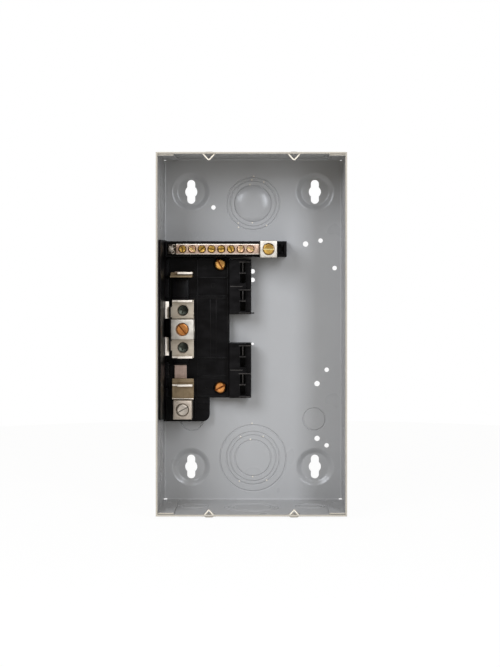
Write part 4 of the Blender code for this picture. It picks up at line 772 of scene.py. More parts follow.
def shelf():
    """The lug shelf below the deck, with a rounded corner, hollowed from behind."""
    edge = settings().moulding.edge
    bm = bmesh.new()
    verts = block(bm, mm(-81.55, -39.75), mm(-83.8, -61.0), mm(0.3, 11.5))
    corner = {e for v in verts for e in v.link_edges if all(w.co.x > mm(-50) and w.co.z < mm(-70) for w in e.verts)}
    bmesh.ops.bevel(
        bm, geom=list(corner), offset=mm(6), offset_type="OFFSET", segments=10, profile=0.5, affect="EDGES",
        material=-1,
    )
    front = y_at(mm(11.4))
    rim = [e for e in bm.edges if all(v.co.y < front for v in e.verts) and e.calc_face_angle(0) > 1]
    bmesh.ops.bevel(bm, geom=rim, offset=edge, segments=3, profile=0.5, affect="EDGES", material=-1)
    return combined(bm, cutter(lambda b: block(b, mm(-77.05, -45.75), mm(-81.3, -64.0), mm(-0.3, 9))))


def barrier():
    """The tall wall beside the box's left wall, cut back at a slant at its lower front."""
    edge = settings().moulding.edge
    bm = bmesh.new()
    verts = block(bm, mm(-81.45, -79.65), mm(-82.8, 82.3), mm(0.9, 78.9))
    tip = [v for v in verts if v.co.z < 0 and v.co.y < y_at(mm(50))]
    bmesh.ops.translate(bm, verts=tip, vec=(0, 0, mm(7.2)))
    bmesh.ops.bevel(
        bm, geom=list(bm.edges), offset=edge, offset_type="OFFSET", segments=2, profile=0.5, affect="EDGES",
        material=-1,
    )
    return bm


def deck_ribs(bm):
    """Ribs and marks on the deck. Each is a rounded bar that is rooted in it."""
    edge, rib = mm(0.22), settings().moulding.rib
    ribs = [
        # x from, x to, z middle, width, extra height
        (-50.6, -23.2, 47.9, 0.9, 0.2), (-73.4, -23.2, 31.0, 0.8, 0.3), (-73.4, -23.2, 29.2, 0.7, 0.0),
        (-50.6, -23.2, -25.6, 0.8, 0.3), (-50.6, -23.2, -42.2, 0.9, 0.2), (-50.6, -23.2, -44.0, 0.6, 0.0),
        (-50.6, -23.2, -60.6, 0.9, 0.1), (-50.6, -38.0, 65.2, 0.9, 0.3),
    ]
    for low, high, z, width, extra in ribs:
        block(bm, mm(low, high), span(mm(z), mm(width)), (mm(11.6), mm(12) + rib + mm(extra)), edge)
    for x, z0, z1 in ((-23.1, -61.0, 65.6), (-33.6, -24.8, 28.4), (-38.9, -24.8, 28.4), (-50.9, -60.4, 65.0)):
        block(bm, span(mm(x), mm(0.7)), mm(z0, z1), (mm(11.6), mm(12) + rib * 0.7), edge)
    for x, z, radius in ((-36.5, 40.7, 2.1), (-44.0, 57.4, 1.7), (-44.5, -34.0, 1.7), (-42.0, -52.6, 1.7)):
        mark = bmesh.new()
        floor = 11.15 if z in (40.7, -34.0) else 11.95
        turned(
            mark, [(mm(radius), mm(floor)), (mm(radius), mm(floor + 0.28)), (mm(radius - 0.5), mm(floor + 0.28)),
                   (mm(radius - 0.5), mm(floor))], mm(x), mm(z), 32,
        )
        add_to(bm, mark)


def deck_details(bm):
    """Steps, ledges and collars that stand on the deck."""
    # Ledges beside the barrier, and steps across the lower one.
    block(bm, mm(-79.9, -76.35), mm(29.8, 47.4), mm(11, 22), mm(0.5))
    block(bm, mm(-79.9, -76.35), mm(-43.9, -28.8), mm(11, 20.6), mm(0.5))
    for z in (-31.0, -35.2, -39.4):
        block(bm, mm(-79.9, -75.95), span(mm(z), mm(1.6)), mm(11, 22), mm(0.4))
    for z0, z1 in ((49.2, 64.8), (-60.4, -52.6)):
        block(bm, mm(-79.9, -76.8), mm(z0, z1), mm(11, 17.5), mm(0.5))
    # Collars round the base screws' wells.
    for x, z in BASE_SCREWS.values():
        collar = bmesh.new()
        turned(
            collar, [(mm(6.6), mm(11.8)), (mm(6.4), mm(12.55)), (mm(6.0), mm(12.75)), (mm(5.5), mm(12.5)),
                     (mm(5.3), mm(11.8))], mm(x), mm(z), 48,
        )
        add_to(bm, collar)
    # The soft ridge across the lug shelf.
    block(bm, mm(-53.2, -40.6), mm(-73.0, -67.4), mm(11.2, 12.3), mm(0.34), 4)
    block(bm, mm(-53.2, -51.9), mm(-82.6, -62.4), mm(11.2, 13.2), mm(0.4))


def bridge(bm):
    """The wall beside the upper bus bar, with an arch over each of its two tabs."""
    for z0, z1 in ((-18.8, 22.0),):
        block(bm, mm(-75.6, -73.98), mm(z0, z1), mm(26.4, 31), mm(0.35))
        block(bm, mm(-75.6, -73.98), mm(z0, z1), mm(11, 23.6), mm(0.35))
    block(bm, mm(-75.6, -73.98), mm(-8.0, 11.6), mm(23.0, 27.0), mm(0.3))


class PANELBOX_OT_base(bpy.types.Operator):
    """Builds the moulded base with its barrier, ledges, pockets and ribs"""

    bl_idname = "panel_box.base"
    bl_label = "Interior base"

    def execute(self, context):
        bm = deck()
        add_to(bm, shelf())
        add_to(bm, barrier())
        deck_details(bm)
        bridge(bm)
        # The floors under the rails, with the pegs that the rails sit on.
        for low, high in ((15.7, 63.7), (-60.5, -12.5)):
            block(bm, mm(-22.8, -2.45), mm(low, high), mm(0.6, 6), mm(0.4))
            for z in (low + 9.0, high - 9.0):
                upright(bm, mm(-15.9), mm(z), mm(5, 11), mm(2), 24)
        weighted(finished("moulded_base", bm, finishes()["plastic"], "panel", ("interior_base",)))
        ribs = bmesh.new()
        deck_ribs(ribs)
        # The deck's ribs are drawn a little paler: faint painted highlight.
        finished("moulded_base_ribs", ribs, finishes()["pale_rib_plastic"], "panel")
        return {"FINISHED"}


class PANELBOX_OT_rails(bpy.types.Operator):
    """Builds the two breaker rails with their hook windows"""

    bl_idname = "panel_box.rails"
    bl_label = "Breaker rails"

    def execute(self, context):
        for name, poles in (("upper", (1, 2)), ("lower", (3, 4))):
            node = f"breaker_rail_{name}"
            low, high = span((POLES[poles[0]] + POLES[poles[1]]) / 2, 50.0)
            weighted(finished(node + "_moulding", self.rail(poles, low, high, name == "upper"),
                              finishes()["plastic"], "panel", (node,)))
            # The rails' thin ribs are drawn grey: painted highlight.
            finished(node + "_ribs", self.ribs(poles, low, high), finishes()["highlit_rib_plastic"], "panel")
        return {"FINISHED"}

    def rail(self, poles, low, high, lipped):
        """One rail: a stepped bar with two hook windows for each pole, and on the upper rail a small lip."""
        edge = settings().moulding.edge
        bm = bmesh.new()
        block(bm, mm(-21.25, -1.45), mm(low, high), mm(6.3, 22), edge)
        windows = [POLES[p] + offset for p in poles for offset in (5.1, -5.1)]
        pegs = (low + 10.0, high - 10.0)
        bm = combined(bm, cutter(
            lambda b: block(b, mm(-6.05, 0), mm(low - 1, high + 1), mm(19, 23)),
            *(lambda b, z=z: upright(b, mm(-15.9), mm(z), mm(5, 11.3), mm(2.3), 24) for z in pegs),
        ))
        bm = combined(bm, cutter(
            *(lambda b, z=z: block(b, mm(-11.45, -6.35), span(mm(z), mm(8.6)), mm(10, 23), mm(0.5)) for z in windows),
        ))
        if lipped:
            block(bm, mm(-2.4, 1.25), mm(low + 0.1, low + 1.2), mm(6.6, 11), mm(0.2))
        return bm

    def ribs(self, poles, low, high):
        """Thin ribs that stiffen the rail and stop a breaker from sliding along it."""
        fine = mm(0.2)
        bm = bmesh.new()
        for pole in poles:
            z = POLES[pole]
            block(bm, mm(-12.6, -1.7), span(mm(z + 9.9), mm(0.7)), mm(18.8, 22.5), fine)
            block(bm, mm(-9.3, -8.6), mm(z - 0.4, z + 9.6), mm(18, 21.2), fine)
            block(bm, mm(-12.2, -6.2), span(mm(z - 0.2), mm(0.6)), mm(21.4, 22.3), fine)
        middle = sum(POLES[p] for p in poles) / 2
        block(bm, mm(-20.6, -9.2), span(mm(middle + 0.4), mm(0.8)), mm(21.6, 22.7), fine)
        block(bm, mm(-12.4, -2.0), span(mm(low + 1.2), mm(0.6)), mm(18.6, 22.4), fine)
        return bm


# ---- Bus bars --------------------------------------------------------------------------------------
def blade(bm, z, root, edge, folded=False):
    """A stab: a tall leaf with a lower lead-in. The first one is folded, with a second leaf below it."""
    block(bm, mm(-67.85, -54.25), span(mm(z), mm(2.0)), mm(root, 33), edge)
    if folded:
        block(bm, mm(-74.65, -54.45), mm(z - 3.9, z - 2.2), mm(root + 0.2, 31.5), edge)
        block(bm, mm(-74.4, -54.8), mm(z - 3.1, z + 0.55), mm(root + 0.2, 26), edge)
    else:
        block(bm, mm(-72.9, -54.45), span(mm(z), mm(1.7)), mm(root, 28.5), edge)


def plate_with_hole(x, z, height, hole_z, radius, edge):
    """A flat plate with one countersunk round hole."""
    bm = bmesh.new()
    block(bm, x, z, height, edge)
    middle = sum(x) / 2
    bm = combined(bm, cutter(lambda b: upright(b, middle, hole_z, (height[0] - MM, height[1] + MM), radius, 48)))
    return combined(bm, cutter(lambda b: sink(b, middle, hole_z, height[1], radius)))


def sink(bm, x, z, top, radius):
    """The cone that breaks the rim of a hole."""
    profile = [(0, top + mm(0.5)), (radius + mm(1.05), top + mm(0.5)), (radius - mm(0.1), top - mm(0.75)),
               (0, top - mm(0.75))]
    turned(bm, profile, x, z, 48)


class PANELBOX_OT_bus_bars(bpy.types.Operator):
    """Builds the two crossing bus bars and the insulator between them"""

    bl_idname = "panel_box.bus_bars"
    bl_label = "Bus bars"

    def execute(self, context):
        edge = settings().metal.edge
        x = mm(-73.15, -53.35)
        bm = plate_with_hole(x, mm(11.1, 27.9), mm(24, 26), mm(18.5), mm(4.6), edge)
        add_to(bm, plate_with_hole(x, mm(-24.7, -7.9), mm(24, 26), mm(-15.3), mm(4.6), edge))
        block(bm, x, mm(-9.8, 13.0), mm(17.3, 19.3), edge)
        for z in (mm(11.0, 12.95), mm(-9.75, -7.8)):
            block(bm, (x[0] + mm(0.1), x[1] - mm(0.1)), z, mm(18, 25.6), edge)
        # The tabs that reach left beside the bridge.
        for z0, z1 in ((11.0, 26.6), (-22.6, -5.9)):
            tab = block(bm, mm(-79.4, -76.0), mm(z0, z1), mm(24.1, 25.9), edge)
            bmesh.ops.rotate(
                bm, verts=tab, cent=(mm(-77.6), y_at(mm(25)), 0), matrix=Matrix.Rotation(math.radians(9), 3, "Z"))
        for z0, z1 in ((12.3, 21.2), (-18.0, -9.0)):
            block(bm, mm(-77.0, -72.0), mm(z0, z1), mm(24.1, 25.9), mm(0.1))
        for pole in (2, 3):
            blade(bm, POLES[pole], 24.2, edge)
        # The stabs' front edges and the tabs beside the bridge take the near-white metal: painted highlight.
        for face in bm.faces:
            middle = face.calc_center_median()
            facing = face.normal.y < -0.7 and middle.y < y_at(mm(28))
            face.material_index = 1 if facing or middle.x < mm(-75.9) else 0
        both = (finishes()["tin"], finishes()["bright_edge"])
        weighted(finished("upper_bus_bar_plate", bm, both, "panel", ("bus_bar_upper",)))
        bm = bmesh.new()
        block(bm, mm(-71.6, -60.5), mm(-45.4, 53.5), mm(12.3, 14.3), edge)
        block(bm, mm(-71.4, -60.7), mm(-45.4, -43.5), mm(12.5, 25.8), edge)
        block(bm, mm(-73.15, -53.35), mm(-62.2, -43.4), mm(24, 26), mm(0.5))
        block(bm, mm(-68.7, -57.8), mm(-62.3, -60.3), mm(17.5, 25.9), edge)
        block(bm, mm(-68.6, -57.9), mm(-78.9, -61.2), mm(17.6, 19.5), edge)
        # The bend line above the lower stab.
        block(bm, mm(-73.1, -53.4), mm(-46.9, -45.9), mm(25.6, 26.35), mm(0.3))
        blade(bm, POLES[1], 12.5, edge, True)
        blade(bm, POLES[4], 24.2, edge)
        # The table's lower edge is turned up a little.
        block(bm, mm(-73.1, -53.4), mm(-62.2, -61.3), mm(25.2, 26.5), mm(0.3))
        # The stabs' front edges take the near-white metal: painted highlight.
        for face in bm.faces:
            middle = face.calc_center_median()
            facing = face.normal.y < -0.7 and (middle.y < y_at(mm(32.2)) or middle.y < y_at(mm(26.45)) > y_at(mm(27)))
            strip_face = middle.y > y_at(mm(15)) and middle.z > mm(-46)
            face.material_index = 2 if facing and not mm(47) < middle.z < mm(50.6) else 1 if strip_face else 0
        three = (finishes()["warm_tin"], finishes()["rose_grey"], finishes()["bright_edge"])
        weighted(finished("lower_bus_bar_strip", bm, three, "panel", ("bus_bar_lower",)))
        self.insulator()
        return {"FINISHED"}

    def insulator(self):
        """The moulded plate between the bars, with a skirt down each side of the crossover."""
        edge = settings().moulding.edge
        bm = bmesh.new()
        block(bm, mm(-73.4, -58.7), mm(-31.8, 48.4), mm(12.3, 17), edge)
        bm = combined(bm, cutter(lambda b: block(b, mm(-71.9, -60.2), mm(-33, 49.5), mm(11, 14.6))))
        bm = combined(bm, cutter(
            *(lambda b, z=z: upright(b, mm(-63.25), mm(z), mm(15.1, 18), mm(2.3), 24) for z in (18.5, -15.3)),
            lambda b: upright(b, mm(-63.25), mm(1.6), mm(15.1, 18), mm(3.7), 32),
        ))
        for z in (30.4, 46.6, -29.8):
            block(bm, mm(-73.3, -58.8), span(mm(z), mm(0.8)), mm(16.6, 17.8), mm(0.2))
        finished("bus_bar_insulator", bm, finishes()["plastic"], "panel", ("bus_insulator",))


# ---- Lugs ------------------------------------------------------------------------------------------
def lug_block(node, edge):
    """A lug's sawn block with rounded edges, and its place."""
    x, z, height = extent(node)
    bm = bmesh.new()
    block(bm, x, z, height, edge, 3)
    return bm, x, z, height


class PANELBOX_OT_lugs(bpy.types.Operator):
    """Builds the two line lugs and the neutral lug"""

    bl_idname = "panel_box.lugs"
    bl_label = "Lugs"

    def execute(self, context):
        edge = settings().metal.edge
        bm, x, z, height = lug_block("line_lug_a", mm(0.6))
        bm = combined(bm, cutter(lambda b: block(
            b, (x[0] + mm(2.8), x[1] - mm(2.8)), (z[0] - MM, z[1] + MM), (height[0] + mm(2.8), height[1] - mm(4.6)),
            mm(0.8))))
        bm = self.bored(bm, sum(x) / 2, sum(z) / 2, height[1] - mm(6), height[1], mm(5.7))
        finished("line_lug_lower_block", bm, finishes()["dull_lug"], "panel", ("line_lug_a",))

        bm, x, z, height = lug_block("line_lug_b", mm(0.5))
        bm = combined(bm, cutter(lambda b: rod(
            b, Vector((sum(x) / 2, y_at(height[1] - mm(9.8)), sum(z) / 2)), x[1] - x[0] + mm(4), mm(5.2), "X", 48)))
        bm = self.bored(bm, sum(x) / 2, sum(z) / 2, height[1] - mm(14), height[1], mm(5.7))
        bm = combined(bm, cutter(lambda b: upright(
            b, sum(x) / 2, sum(z) / 2, (height[0] - MM, height[1] - mm(12)), mm(2.3), 24)))
        finished("line_lug_upper_block", bm, finishes()["lug"], "panel", ("line_lug_b",))

        bm, x, z, height = lug_block("neutral_lug", mm(0.6))
        bm = combined(bm, cutter(lambda b: block(
            b, (x[0] - MM, x[1] + MM), (z[0] + mm(2.8), z[1] - mm(2.8)), (height[0] + mm(2.8), height[1] - mm(4.5)),
            mm(0.8))))
        bm = self.bored(bm, sum(x) / 2, sum(z) / 2, height[0] + mm(3.8), height[1], mm(5.2))
        finished("neutral_lug_block", bm, finishes()["lug"], "panel", ("neutral_lug",))
        return {"FINISHED"}

    def bored(self, bm, x, z, low, top, radius):
        """A screw bore from the front, with its rim broken."""
        bm = combined(bm, cutter(lambda b: upright(b, x, z, (low, top + MM), radius, 48)))
        return combined(bm, cutter(lambda b: sink_ring(b, x, z, top, radius)))


def sink_ring(bm, x, z, top, radius):
    profile = [(0, top + mm(0.5)), (radius + mm(0.85), top + mm(0.5)), (radius - mm(0.1), top - mm(0.5)),
               (0, top - mm(0.5))]
    turned(bm, profile, x, z, 48)


# ---- Screws ----------------------------------------------------------------------------------------
def slot_cutter(x, z, length, width, height, turn):
    bm = bmesh.new()
    block(bm, span(x, length), span(z, width), height)
    bmesh.ops.rotate(bm, verts=bm.verts, cent=(x, 0, z), matrix=Matrix.Rotation(math.radians(turn), 3, "Y"))
    return bm


def slotted(bm, x, z, top, length, width, depth, turn):
    """The screw with a driver slot, whose floor and sides take the second finish: for most screws a painted shade, for
    a few a painted highlight.
    """
    bm = combined(bm, slot_cutter(x, z, length, width, (top - depth, top + MM), turn))
    away = Vector((math.sin(math.radians(turn)), 0, math.cos(math.radians(turn))))
    for face in bm.faces:
        middle = face.calc_center_median()
        inside = abs((middle - Vector((x, 0, z))).dot(Vector((away.x, 0, away.z)))) < width / 2 + 0.01 * MM
        if inside and -middle.y < -y_at(top - 0.2 * MM) and -middle.y > -y_at(top - depth) - 0.01 * MM:
            flat_side = abs(face.normal.dot(away)) > 0.9 or abs(face.normal.y) > 0.95
            if flat_side and (Vector((middle.x - x, middle.z - z)).length < length / 2):
                face.material_index = 1
    return bm


def clamp_screw(node, finish, slot_finish, slot_share=0.36):
    """A headless slotted clamping screw on its own body, with a broken rim and a few threads."""
    (x0, x1), (z0, z1), (low, top) = extent(node)
    x, z, radius = (x0 + x1) / 2, (z0 + z1) / 2, (x1 - x0) / 2
    crown = radius * 0.2
    profile = [(0, top - mm(0.25)), (radius * 0.5, top - mm(0.16)), (radius - crown, top),
               (radius - crown * 0.4, top - crown * 0.3), (radius, top - crown)]
    pitch, depth = mm(1.0), mm(0.22)
    level = top - mm(2.2)
    while level > low + 2 * pitch:
        profile += [(radius, level), (radius - depth, level - pitch / 2)]
        level -= pitch
    profile += [(radius, low + radius * 0.3), (radius * 0.7, low), (0, low)]
    bm = bmesh.new()
    turned(bm, profile, x, z, settings().metal.steps)
    bm = slotted(bm, x, z, top, 2 * radius + MM, radius * slot_share, mm(1.7), SCREW_TURNS[node])
    return finished(node + "_body", bm, (finish, slot_finish), node + "_body", (node,), 28)


class PANELBOX_OT_screws(bpy.types.Operator):
    """Builds the clamping screws and the fixed screws"""

    bl_idname = "panel_box.screws"
    bl_label = "Screws"

    def execute(self, context):
        shown = finishes()
        # Each slot takes a darker finish as painted shade; the pale slots of screws 2, 7 and 8 and of the lug screw are
        # a painted highlight.
        for number in range(1, 9):
            worn = number in (2, 7, 8)
            clamp_screw(f"neutral_screw_{number}", shown["worn_brass" if worn else "brass"],
                        shown["pale_brass" if worn else "brass_slot"])
        # The lug screw's slot is drawn pale: painted highlight.
        clamp_screw("neutral_lug_screw", shown["brass"], shown["pale_brass"], 0.3)
        clamp_screw("line_lug_a_screw", shown["zinc"], shown["zinc_slot"], 0.17)
        clamp_screw("line_lug_b_screw", shown["copper"], shown["copper_slot"], 0.2)
        for name in ("upper", "lower"):
            self.base_screw(f"base_screw_{name}", shown["copper" if name == "lower" else "gold"], shown["copper_slot"])
            self.recessed_screw(f"bus_fixing_screw_{name}", shown["oxide"])
        self.mounting_screw("neutral_bar_mounting_screw", shown["zinc"])
        self.saddle_screw("line_lug_b_fixing_screw", shown["zinc"])
        return {"FINISHED"}

    def base_screw(self, node, finish, slot_finish):
        """A slotted pan-head screw with a dished middle and a rolled rim."""
        (x0, x1), (z0, z1), (low, top) = extent(node)
        x, z, radius = (x0 + x1) / 2, (z0 + z1) / 2, (x1 - x0) / 2 + mm(0.45)
        head = top - mm(3)
        dome = [(0, top - mm(0.35)), (radius * 0.45, top - mm(0.3)), (radius * 0.62, top - mm(0.02)),
                (radius * 0.78, top - mm(0.12)), (radius * 0.9, top - mm(0.6)), (radius * 0.98, top - mm(1.3)),
                (radius, top - mm(2.0))]
        profile = [*dome, (radius, head), (mm(2.2), head), (mm(2.2), low + mm(0.6)), (mm(1.2), low), (0, low)]
        bm = bmesh.new()
        turned(bm, profile, x, z, 48)
        bm = slotted(bm, x, z, top, 2 * radius + MM, mm(1.5), mm(1.5), BASE_SCREW_TURNS[node])
        finished(node + "_pan_head", bm, (finish, slot_finish), "panel", (node,), 28)

    def recessed_screw(self, node, finish):
        """A dark fixing screw that lies below the bus bar's face, with a cross recess in a dished head."""
        (x0, x1), (z0, z1), (low, top) = extent(node)
        x, z, radius = (x0 + x1) / 2, (z0 + z1) / 2, (x1 - x0) / 2
        profile = [(0, top - mm(0.9)), (radius * 0.45, top - mm(0.8)), (radius * 0.8, top - mm(0.15)),
                   (radius * 0.93, top), (radius, top - mm(0.3)), (radius, low + mm(2.6)),
                   (mm(2.0), low + mm(1.9)), (mm(2.0), low), (0, low)]
        bm = bmesh.new()
        turned(bm, profile, x, z, 48)
        for turn in (20, 110):
            bm = combined(bm, slot_cutter(x, z, mm(5.0), mm(1.1), (top - mm(2.6), top + MM), turn))
        finished(node + "_head", bm, finish, "panel", (node,), 28)

    def mounting_screw(self, node, finish):
        """The neutral bar's small pan-head screw."""
        (x0, x1), (z0, z1), (low, top) = extent(node)
        x, z, radius = (x0 + x1) / 2, (z0 + z1) / 2, (x1 - x0) / 2
        profile = [(0, top), (radius * 0.5, top - mm(0.1)), (radius * 0.85, top - mm(0.5)), (radius, top - mm(1.2)),
                   (radius, top - mm(2.2)), (mm(1.7), top - mm(2.2)), (mm(1.7), low), (0, low)]
        bm = bmesh.new()
        turned(bm, profile, x, z, 40)
        bm = combined(bm, slot_cutter(x, z, 2 * radius + MM, mm(1.0), (top - mm(1.1), top + MM), 62))
        finished(node + "_pan_head", bm, finish, "panel", (node,), 28)

    def saddle_screw(self, node, finish):
        (x0, x1), (z0, z1), (low, top) = extent(node)
        x, z, radius = (x0 + x1) / 2, (z0 + z1) / 2, (x1 - x0) / 2
        profile = [(0, top), (mm(1.7), top), (mm(2.0), top - mm(0.3)), (mm(2.0), low + mm(1.6)),
                   (radius, low + mm(1.6)), (radius, low + mm(0.3)), (radius - mm(0.3), low), (0, low)]
        bm = bmesh.new()
        turned(bm, profile, x, z, 40)
        finished(node + "_thin_head", bm, finish, "panel", (node,), 28)


# ---- Neutral assembly ------------------------------------------------------------------------------
class PANELBOX_OT_neutral(bpy.types.Operator):
    """Builds the drilled neutral bar and the moulded channel that it lies in"""

    bl_idname = "panel_box.neutral"
    bl_label = "Neutral bar"

    def execute(self, context):
        self.carrier()
        self.bar()
        return {"FINISHED"}

    def carrier(self):
        """The channel on a hollow foot, with lips beside the bar and a notched socket at its right end."""
        x, z, height = extent("neutral_carrier")
        edge = settings().moulding.edge
        middle = sum(z) / 2
        bm = bmesh.new()
        block(bm, x, z, height, edge)
        bm = combined(bm, cutter(
            lambda b: block(b, (x[0] - MM, x[1] - mm(8.4)), span(middle, mm(10.6)), mm(26.7, 30)),
            lambda b: block(b, (x[0] + mm(2.2), x[1] - mm(2.2)), span(middle, mm(10.0)), mm(-1, 20.5)),
        ))
        bm = combined(bm, cutter(
            lambda b: block(b, mm(6.75, 22.65), span(middle, mm(30)), mm(24.6, 30)),
            lambda b: upright(b, mm(-73.3), middle, mm(18.3, 27.7), mm(2.0), 24),
        ))
        # The socket: a square well with two ribs, like the end of a strip of sockets.
        bm = combined(bm, cutter(lambda b: block(
            b, (x[1] - mm(7.2), x[1] - mm(1.3)), span(middle, mm(9.0)), mm(22, 29), mm(0.4))))
        for side in (-1, 1):
            block(bm, (x[1] - mm(5.6), x[1] - mm(3.4)), span(middle + side * mm(3.4), mm(2.0)), mm(21.5, 27.4), mm(0.3))
        block(bm, (x[1] - mm(2.4), x[1] - mm(0.5)), span(middle, mm(12.6)), mm(27.2, 28.3), mm(0.25))
        # Ribs on the channel's long sides, and a hook over the foot at the left.
        for step in range(9):
            start = x[0] + mm(7.0 + step * 8.75)
            for side in (-1, 1):
                block(bm, (start, start + mm(1.0)), span(middle + side * mm(6.85), mm(0.7)), mm(12, 27.4), mm(0.15))
        block(bm, (x[0] + mm(0.2), x[0] + mm(1.6)), span(middle, mm(11.6)), mm(26, 30.6), mm(0.3))
        weighted(finished("neutral_bar_channel", bm, finishes()["plastic"], "panel",
                          ("neutral_carrier",)))

    def bar(self):
        """The bar with a bore and a cross hole at each terminal. Its long edges at the front carry a painted highlight,
        and its foot a painted shade.
        """
        z = mm(69.3, 78.9)
        middle = sum(z) / 2
        bm = bmesh.new()
        block(bm, mm(-69.2, 6.75), z, mm(27, 38.5), mm(0.75), 3)
        # The long edges at the front take the near-white metal: painted highlight.
        for face in bm.faces:
            tilted = 0.05 < abs(face.normal.z) < 0.99 or abs(face.normal.z) >= 0.99
            face.material_index = 1 if tilted and face.calc_center_median().y < y_at(mm(30)) else 0
        places = [mm(-63.0 + 8.75 * n) for n in range(8)]
        bm = combined(bm, cutter(
            *(lambda b, p=p: rod(b, Vector((p, y_at(mm(31.6)), middle)), mm(14), mm(3.05), "Z", 32) for p in places),
        ))
        bm = combined(bm, cutter(
            *(lambda b, p=p: upright(b, p, middle, mm(29.2, 40), mm(3.4), 40) for p in places),
        ))
        bm = combined(bm, cutter(*(lambda b, p=p: sink_small(b, p, middle, mm(38.5), mm(3.4)) for p in places)))
        foot = bmesh.new()
        block(foot, mm(-76.8, -68.9), span(middle, mm(8.6)), mm(28, 30.5), mm(0.35))
        foot = combined(foot, cutter(lambda b: upright(b, mm(-73.3), middle, mm(27, 32), mm(2.0), 24)))
        # The foot takes the dark tin: painted shade.
        for face in foot.faces:
            face.material_index = 2
        add_to(bm, foot)
        block(bm, mm(6.3, 21.35), span(middle, mm(8.6)), mm(28, 30.5), mm(0.35))
        # The two curled ears that locate the foot.
        for side in (-1, 1):
            ear = bmesh.new()
            turned(
                ear, [(mm(1.9), mm(30.3)), (mm(1.9), mm(33.6)), (mm(1.5), mm(34.0)), (mm(1.1), mm(33.6)),
                      (mm(1.1), mm(30.3))], mm(-71.0 if side > 0 else -71.6), middle + side * mm(2.6), 24,
            )
            # The ears take the near-white metal: painted highlight.
            for face in ear.faces:
                face.material_index = 1
            add_to(bm, ear)
        shown = finishes()
        finished("neutral_bar_drilled", bm, (shown["rose_tin"], shown["bright_edge"], shown["shaded_tin"]), "panel",
                 ("neutral_bar",))


def sink_small(bm, x, z, top, radius):
    cone = bmesh.new()
    turned(cone, [(0, top + mm(0.4)), (radius + mm(0.75), top + mm(0.4)), (radius - mm(0.1), top - mm(0.45)),
                  (0, top - mm(0.45))], x, z, 40)
    add_to(bm, cone)


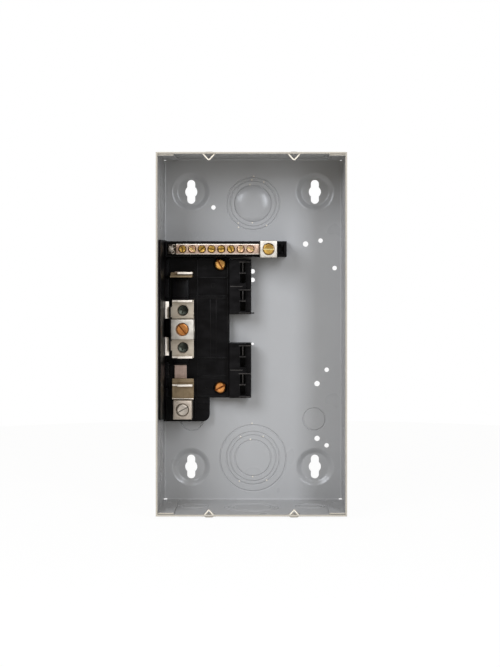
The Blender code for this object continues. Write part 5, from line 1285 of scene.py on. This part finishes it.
# ---- Stage -----------------------------------------------------------------------------------------
class PANELBOX_OT_stage(bpy.types.Operator):
    """Builds the floor, the soft lights and the camera"""

    bl_idname = "panel_box.stage"
    bl_label = "Stage"

    def execute(self, context):
        scene = context.scene
        stage = settings().stage
        scene.view_settings.view_transform = "Standard"
        self.floor(stage)
        self.studio(scene, stage)
        self.light("strip_light", (0.47, -1.10, 0.44), (0.24, 0.7), stage.key_power)
        self.light("soft_box", (-0.60, -1.12, 0.62), (0.6, 0.6), stage.left_power)
        data = bpy.data.cameras.new("front_camera")
        data.lens = stage.lens
        data.sensor_width = 36
        data.shift_x = -29 / FRAME_LONG_SIDE
        data.shift_y = -86.5 / FRAME_LONG_SIDE
        data.clip_start = 0.05
        camera = bpy.data.objects.new("front_camera", data)
        camera.location = (stage.camera_x, -stage.distance, stage.camera_z)
        camera.rotation_euler = (math.pi / 2, 0, 0)
        scene.collection.objects.link(camera)
        scene.camera = camera
        return {"FINISHED"}

    def floor(self, stage):
        """A pale sweep that stays white to the eye and keeps a trace of the contact shade."""
        bm = bmesh.new()
        bmesh.ops.create_circle(
            bm, cap_ends=True, segments=64, radius=0.75, matrix=Matrix.Translation((0, 0, CAD_BOX[0].z - 0.0005))
        )
        mesh = bpy.data.meshes.new("studio_floor")
        bm.to_mesh(mesh)
        bm.free()
        floor = bpy.data.objects.new("studio_floor", mesh)
        bpy.context.scene.collection.objects.link(floor)
        made, tree, shader, _ = shade("white_sweep", {"Base Color": tuple(stage.floor), "Roughness": 0.6})
        glow = add_node(tree, "ShaderNodeEmission", {"Color": (1, 1, 1, 1), "Strength": 1.0})
        seen = add_node(tree, "ShaderNodeLightPath").outputs["Is Camera Ray"]
        share = add_node(tree, "ShaderNodeMapRange", {"Value": seen, 1: 0.0, 2: 1.0, 3: 0.35, 4: 0.96})
        mixed = add_node(
            tree, "ShaderNodeMixShader", {0: share.outputs[0], 1: shader.outputs[0], 2: glow.outputs[0]}
        )
        tree.links.new(mixed.outputs[0], tree.nodes["Material Output"].inputs["Surface"])
        mesh.materials.append(made)

    def studio(self, scene, stage):
        """White behind the object, and a soft grey room for everything that lights or is mirrored."""
        world = bpy.data.worlds.new("studio")
        scene.world = world
        world.use_nodes = True
        tree = world.node_tree
        tree.nodes.clear()
        way = add_node(tree, "ShaderNodeTexCoord").outputs["Generated"]
        parts = add_node(tree, "ShaderNodeSeparateXYZ", {"Vector": way})
        rise = add_node(
            tree, "ShaderNodeMapRange", {"Value": parts.outputs["Z"], 1: -0.7, 2: 0.8, 3: 0.45, 4: 1.25}
        )
        room = add_node(tree, "ShaderNodeBackground", {"Color": linear("#fff6e2"), "Strength": rise.outputs[0]})
        dim = add_node(
            tree, "ShaderNodeMath", {0: rise.outputs[0], 1: stage.studio}, operation="MULTIPLY"
        )
        tree.links.new(dim.outputs[0], room.inputs["Strength"])
        white = add_node(tree, "ShaderNodeBackground", {"Color": (1, 1, 1, 1), "Strength": 1.0})
        seen = add_node(tree, "ShaderNodeLightPath").outputs["Is Camera Ray"]
        both = add_node(tree, "ShaderNodeMixShader", {0: seen, 1: room.outputs[0], 2: white.outputs[0]})
        add_node(tree, "ShaderNodeOutputWorld", {"Surface": both.outputs[0]})

    def light(self, name, place, size, power):
        data = bpy.data.lights.new(name, "AREA")
        data.shape = "RECTANGLE"
        data.size, data.size_y = size
        data.color = (0.88, 0.92, 1.0)
        data.energy = power
        made = bpy.data.objects.new(name, data)
        made.location = place
        made.rotation_euler = (Vector((0, 0, 0)) - Vector(place)).to_track_quat("-Z", "Y").to_euler()
        bpy.context.scene.collection.objects.link(made)


# ---- Panel and registration ------------------------------------------------------------------------
OPERATORS = (
    PANELBOX_OT_stage, PANELBOX_OT_enclosure, PANELBOX_OT_base, PANELBOX_OT_rails, PANELBOX_OT_bus_bars,
    PANELBOX_OT_lugs, PANELBOX_OT_screws, PANELBOX_OT_neutral,
)


class PANELBOX_PT_sidebar(bpy.types.Panel):
    """Lists the box's settings and the buttons that build it"""

    bl_idname = "PANELBOX_PT_sidebar"
    bl_label = "Panel Box"
    bl_space_type = "VIEW_3D"
    bl_region_type = "UI"
    bl_category = "Panel Box"

    def draw(self, context):
        for group in ("enclosure", "moulding", "metal", "stage"):
            values = getattr(context.scene.panel_box, group)
            column = self.layout.column(heading=group.title())
            for name in values.__annotations__:
                column.prop(values, name)
        for operator in OPERATORS:
            self.layout.operator(operator.bl_idname)


CLASSES = (
    PanelBoxEnclosureSettings, PanelBoxMouldingSettings, PanelBoxMetalSettings, PanelBoxStageSettings,
    PanelBoxSettings, *OPERATORS, PANELBOX_PT_sidebar,
)


def register():
    for one in CLASSES:
        bpy.utils.register_class(one)
    bpy.types.Scene.panel_box = PointerProperty(type=PanelBoxSettings)


def unregister():
    del bpy.types.Scene.panel_box
    for one in reversed(CLASSES):
        bpy.utils.unregister_class(one)


def main():
    register()
    for build in (
        bpy.ops.panel_box.stage, bpy.ops.panel_box.enclosure, bpy.ops.panel_box.base, bpy.ops.panel_box.rails,
        bpy.ops.panel_box.bus_bars, bpy.ops.panel_box.lugs, bpy.ops.panel_box.screws, bpy.ops.panel_box.neutral,
    ):
        build()


if __name__ == "__main__":
    main()
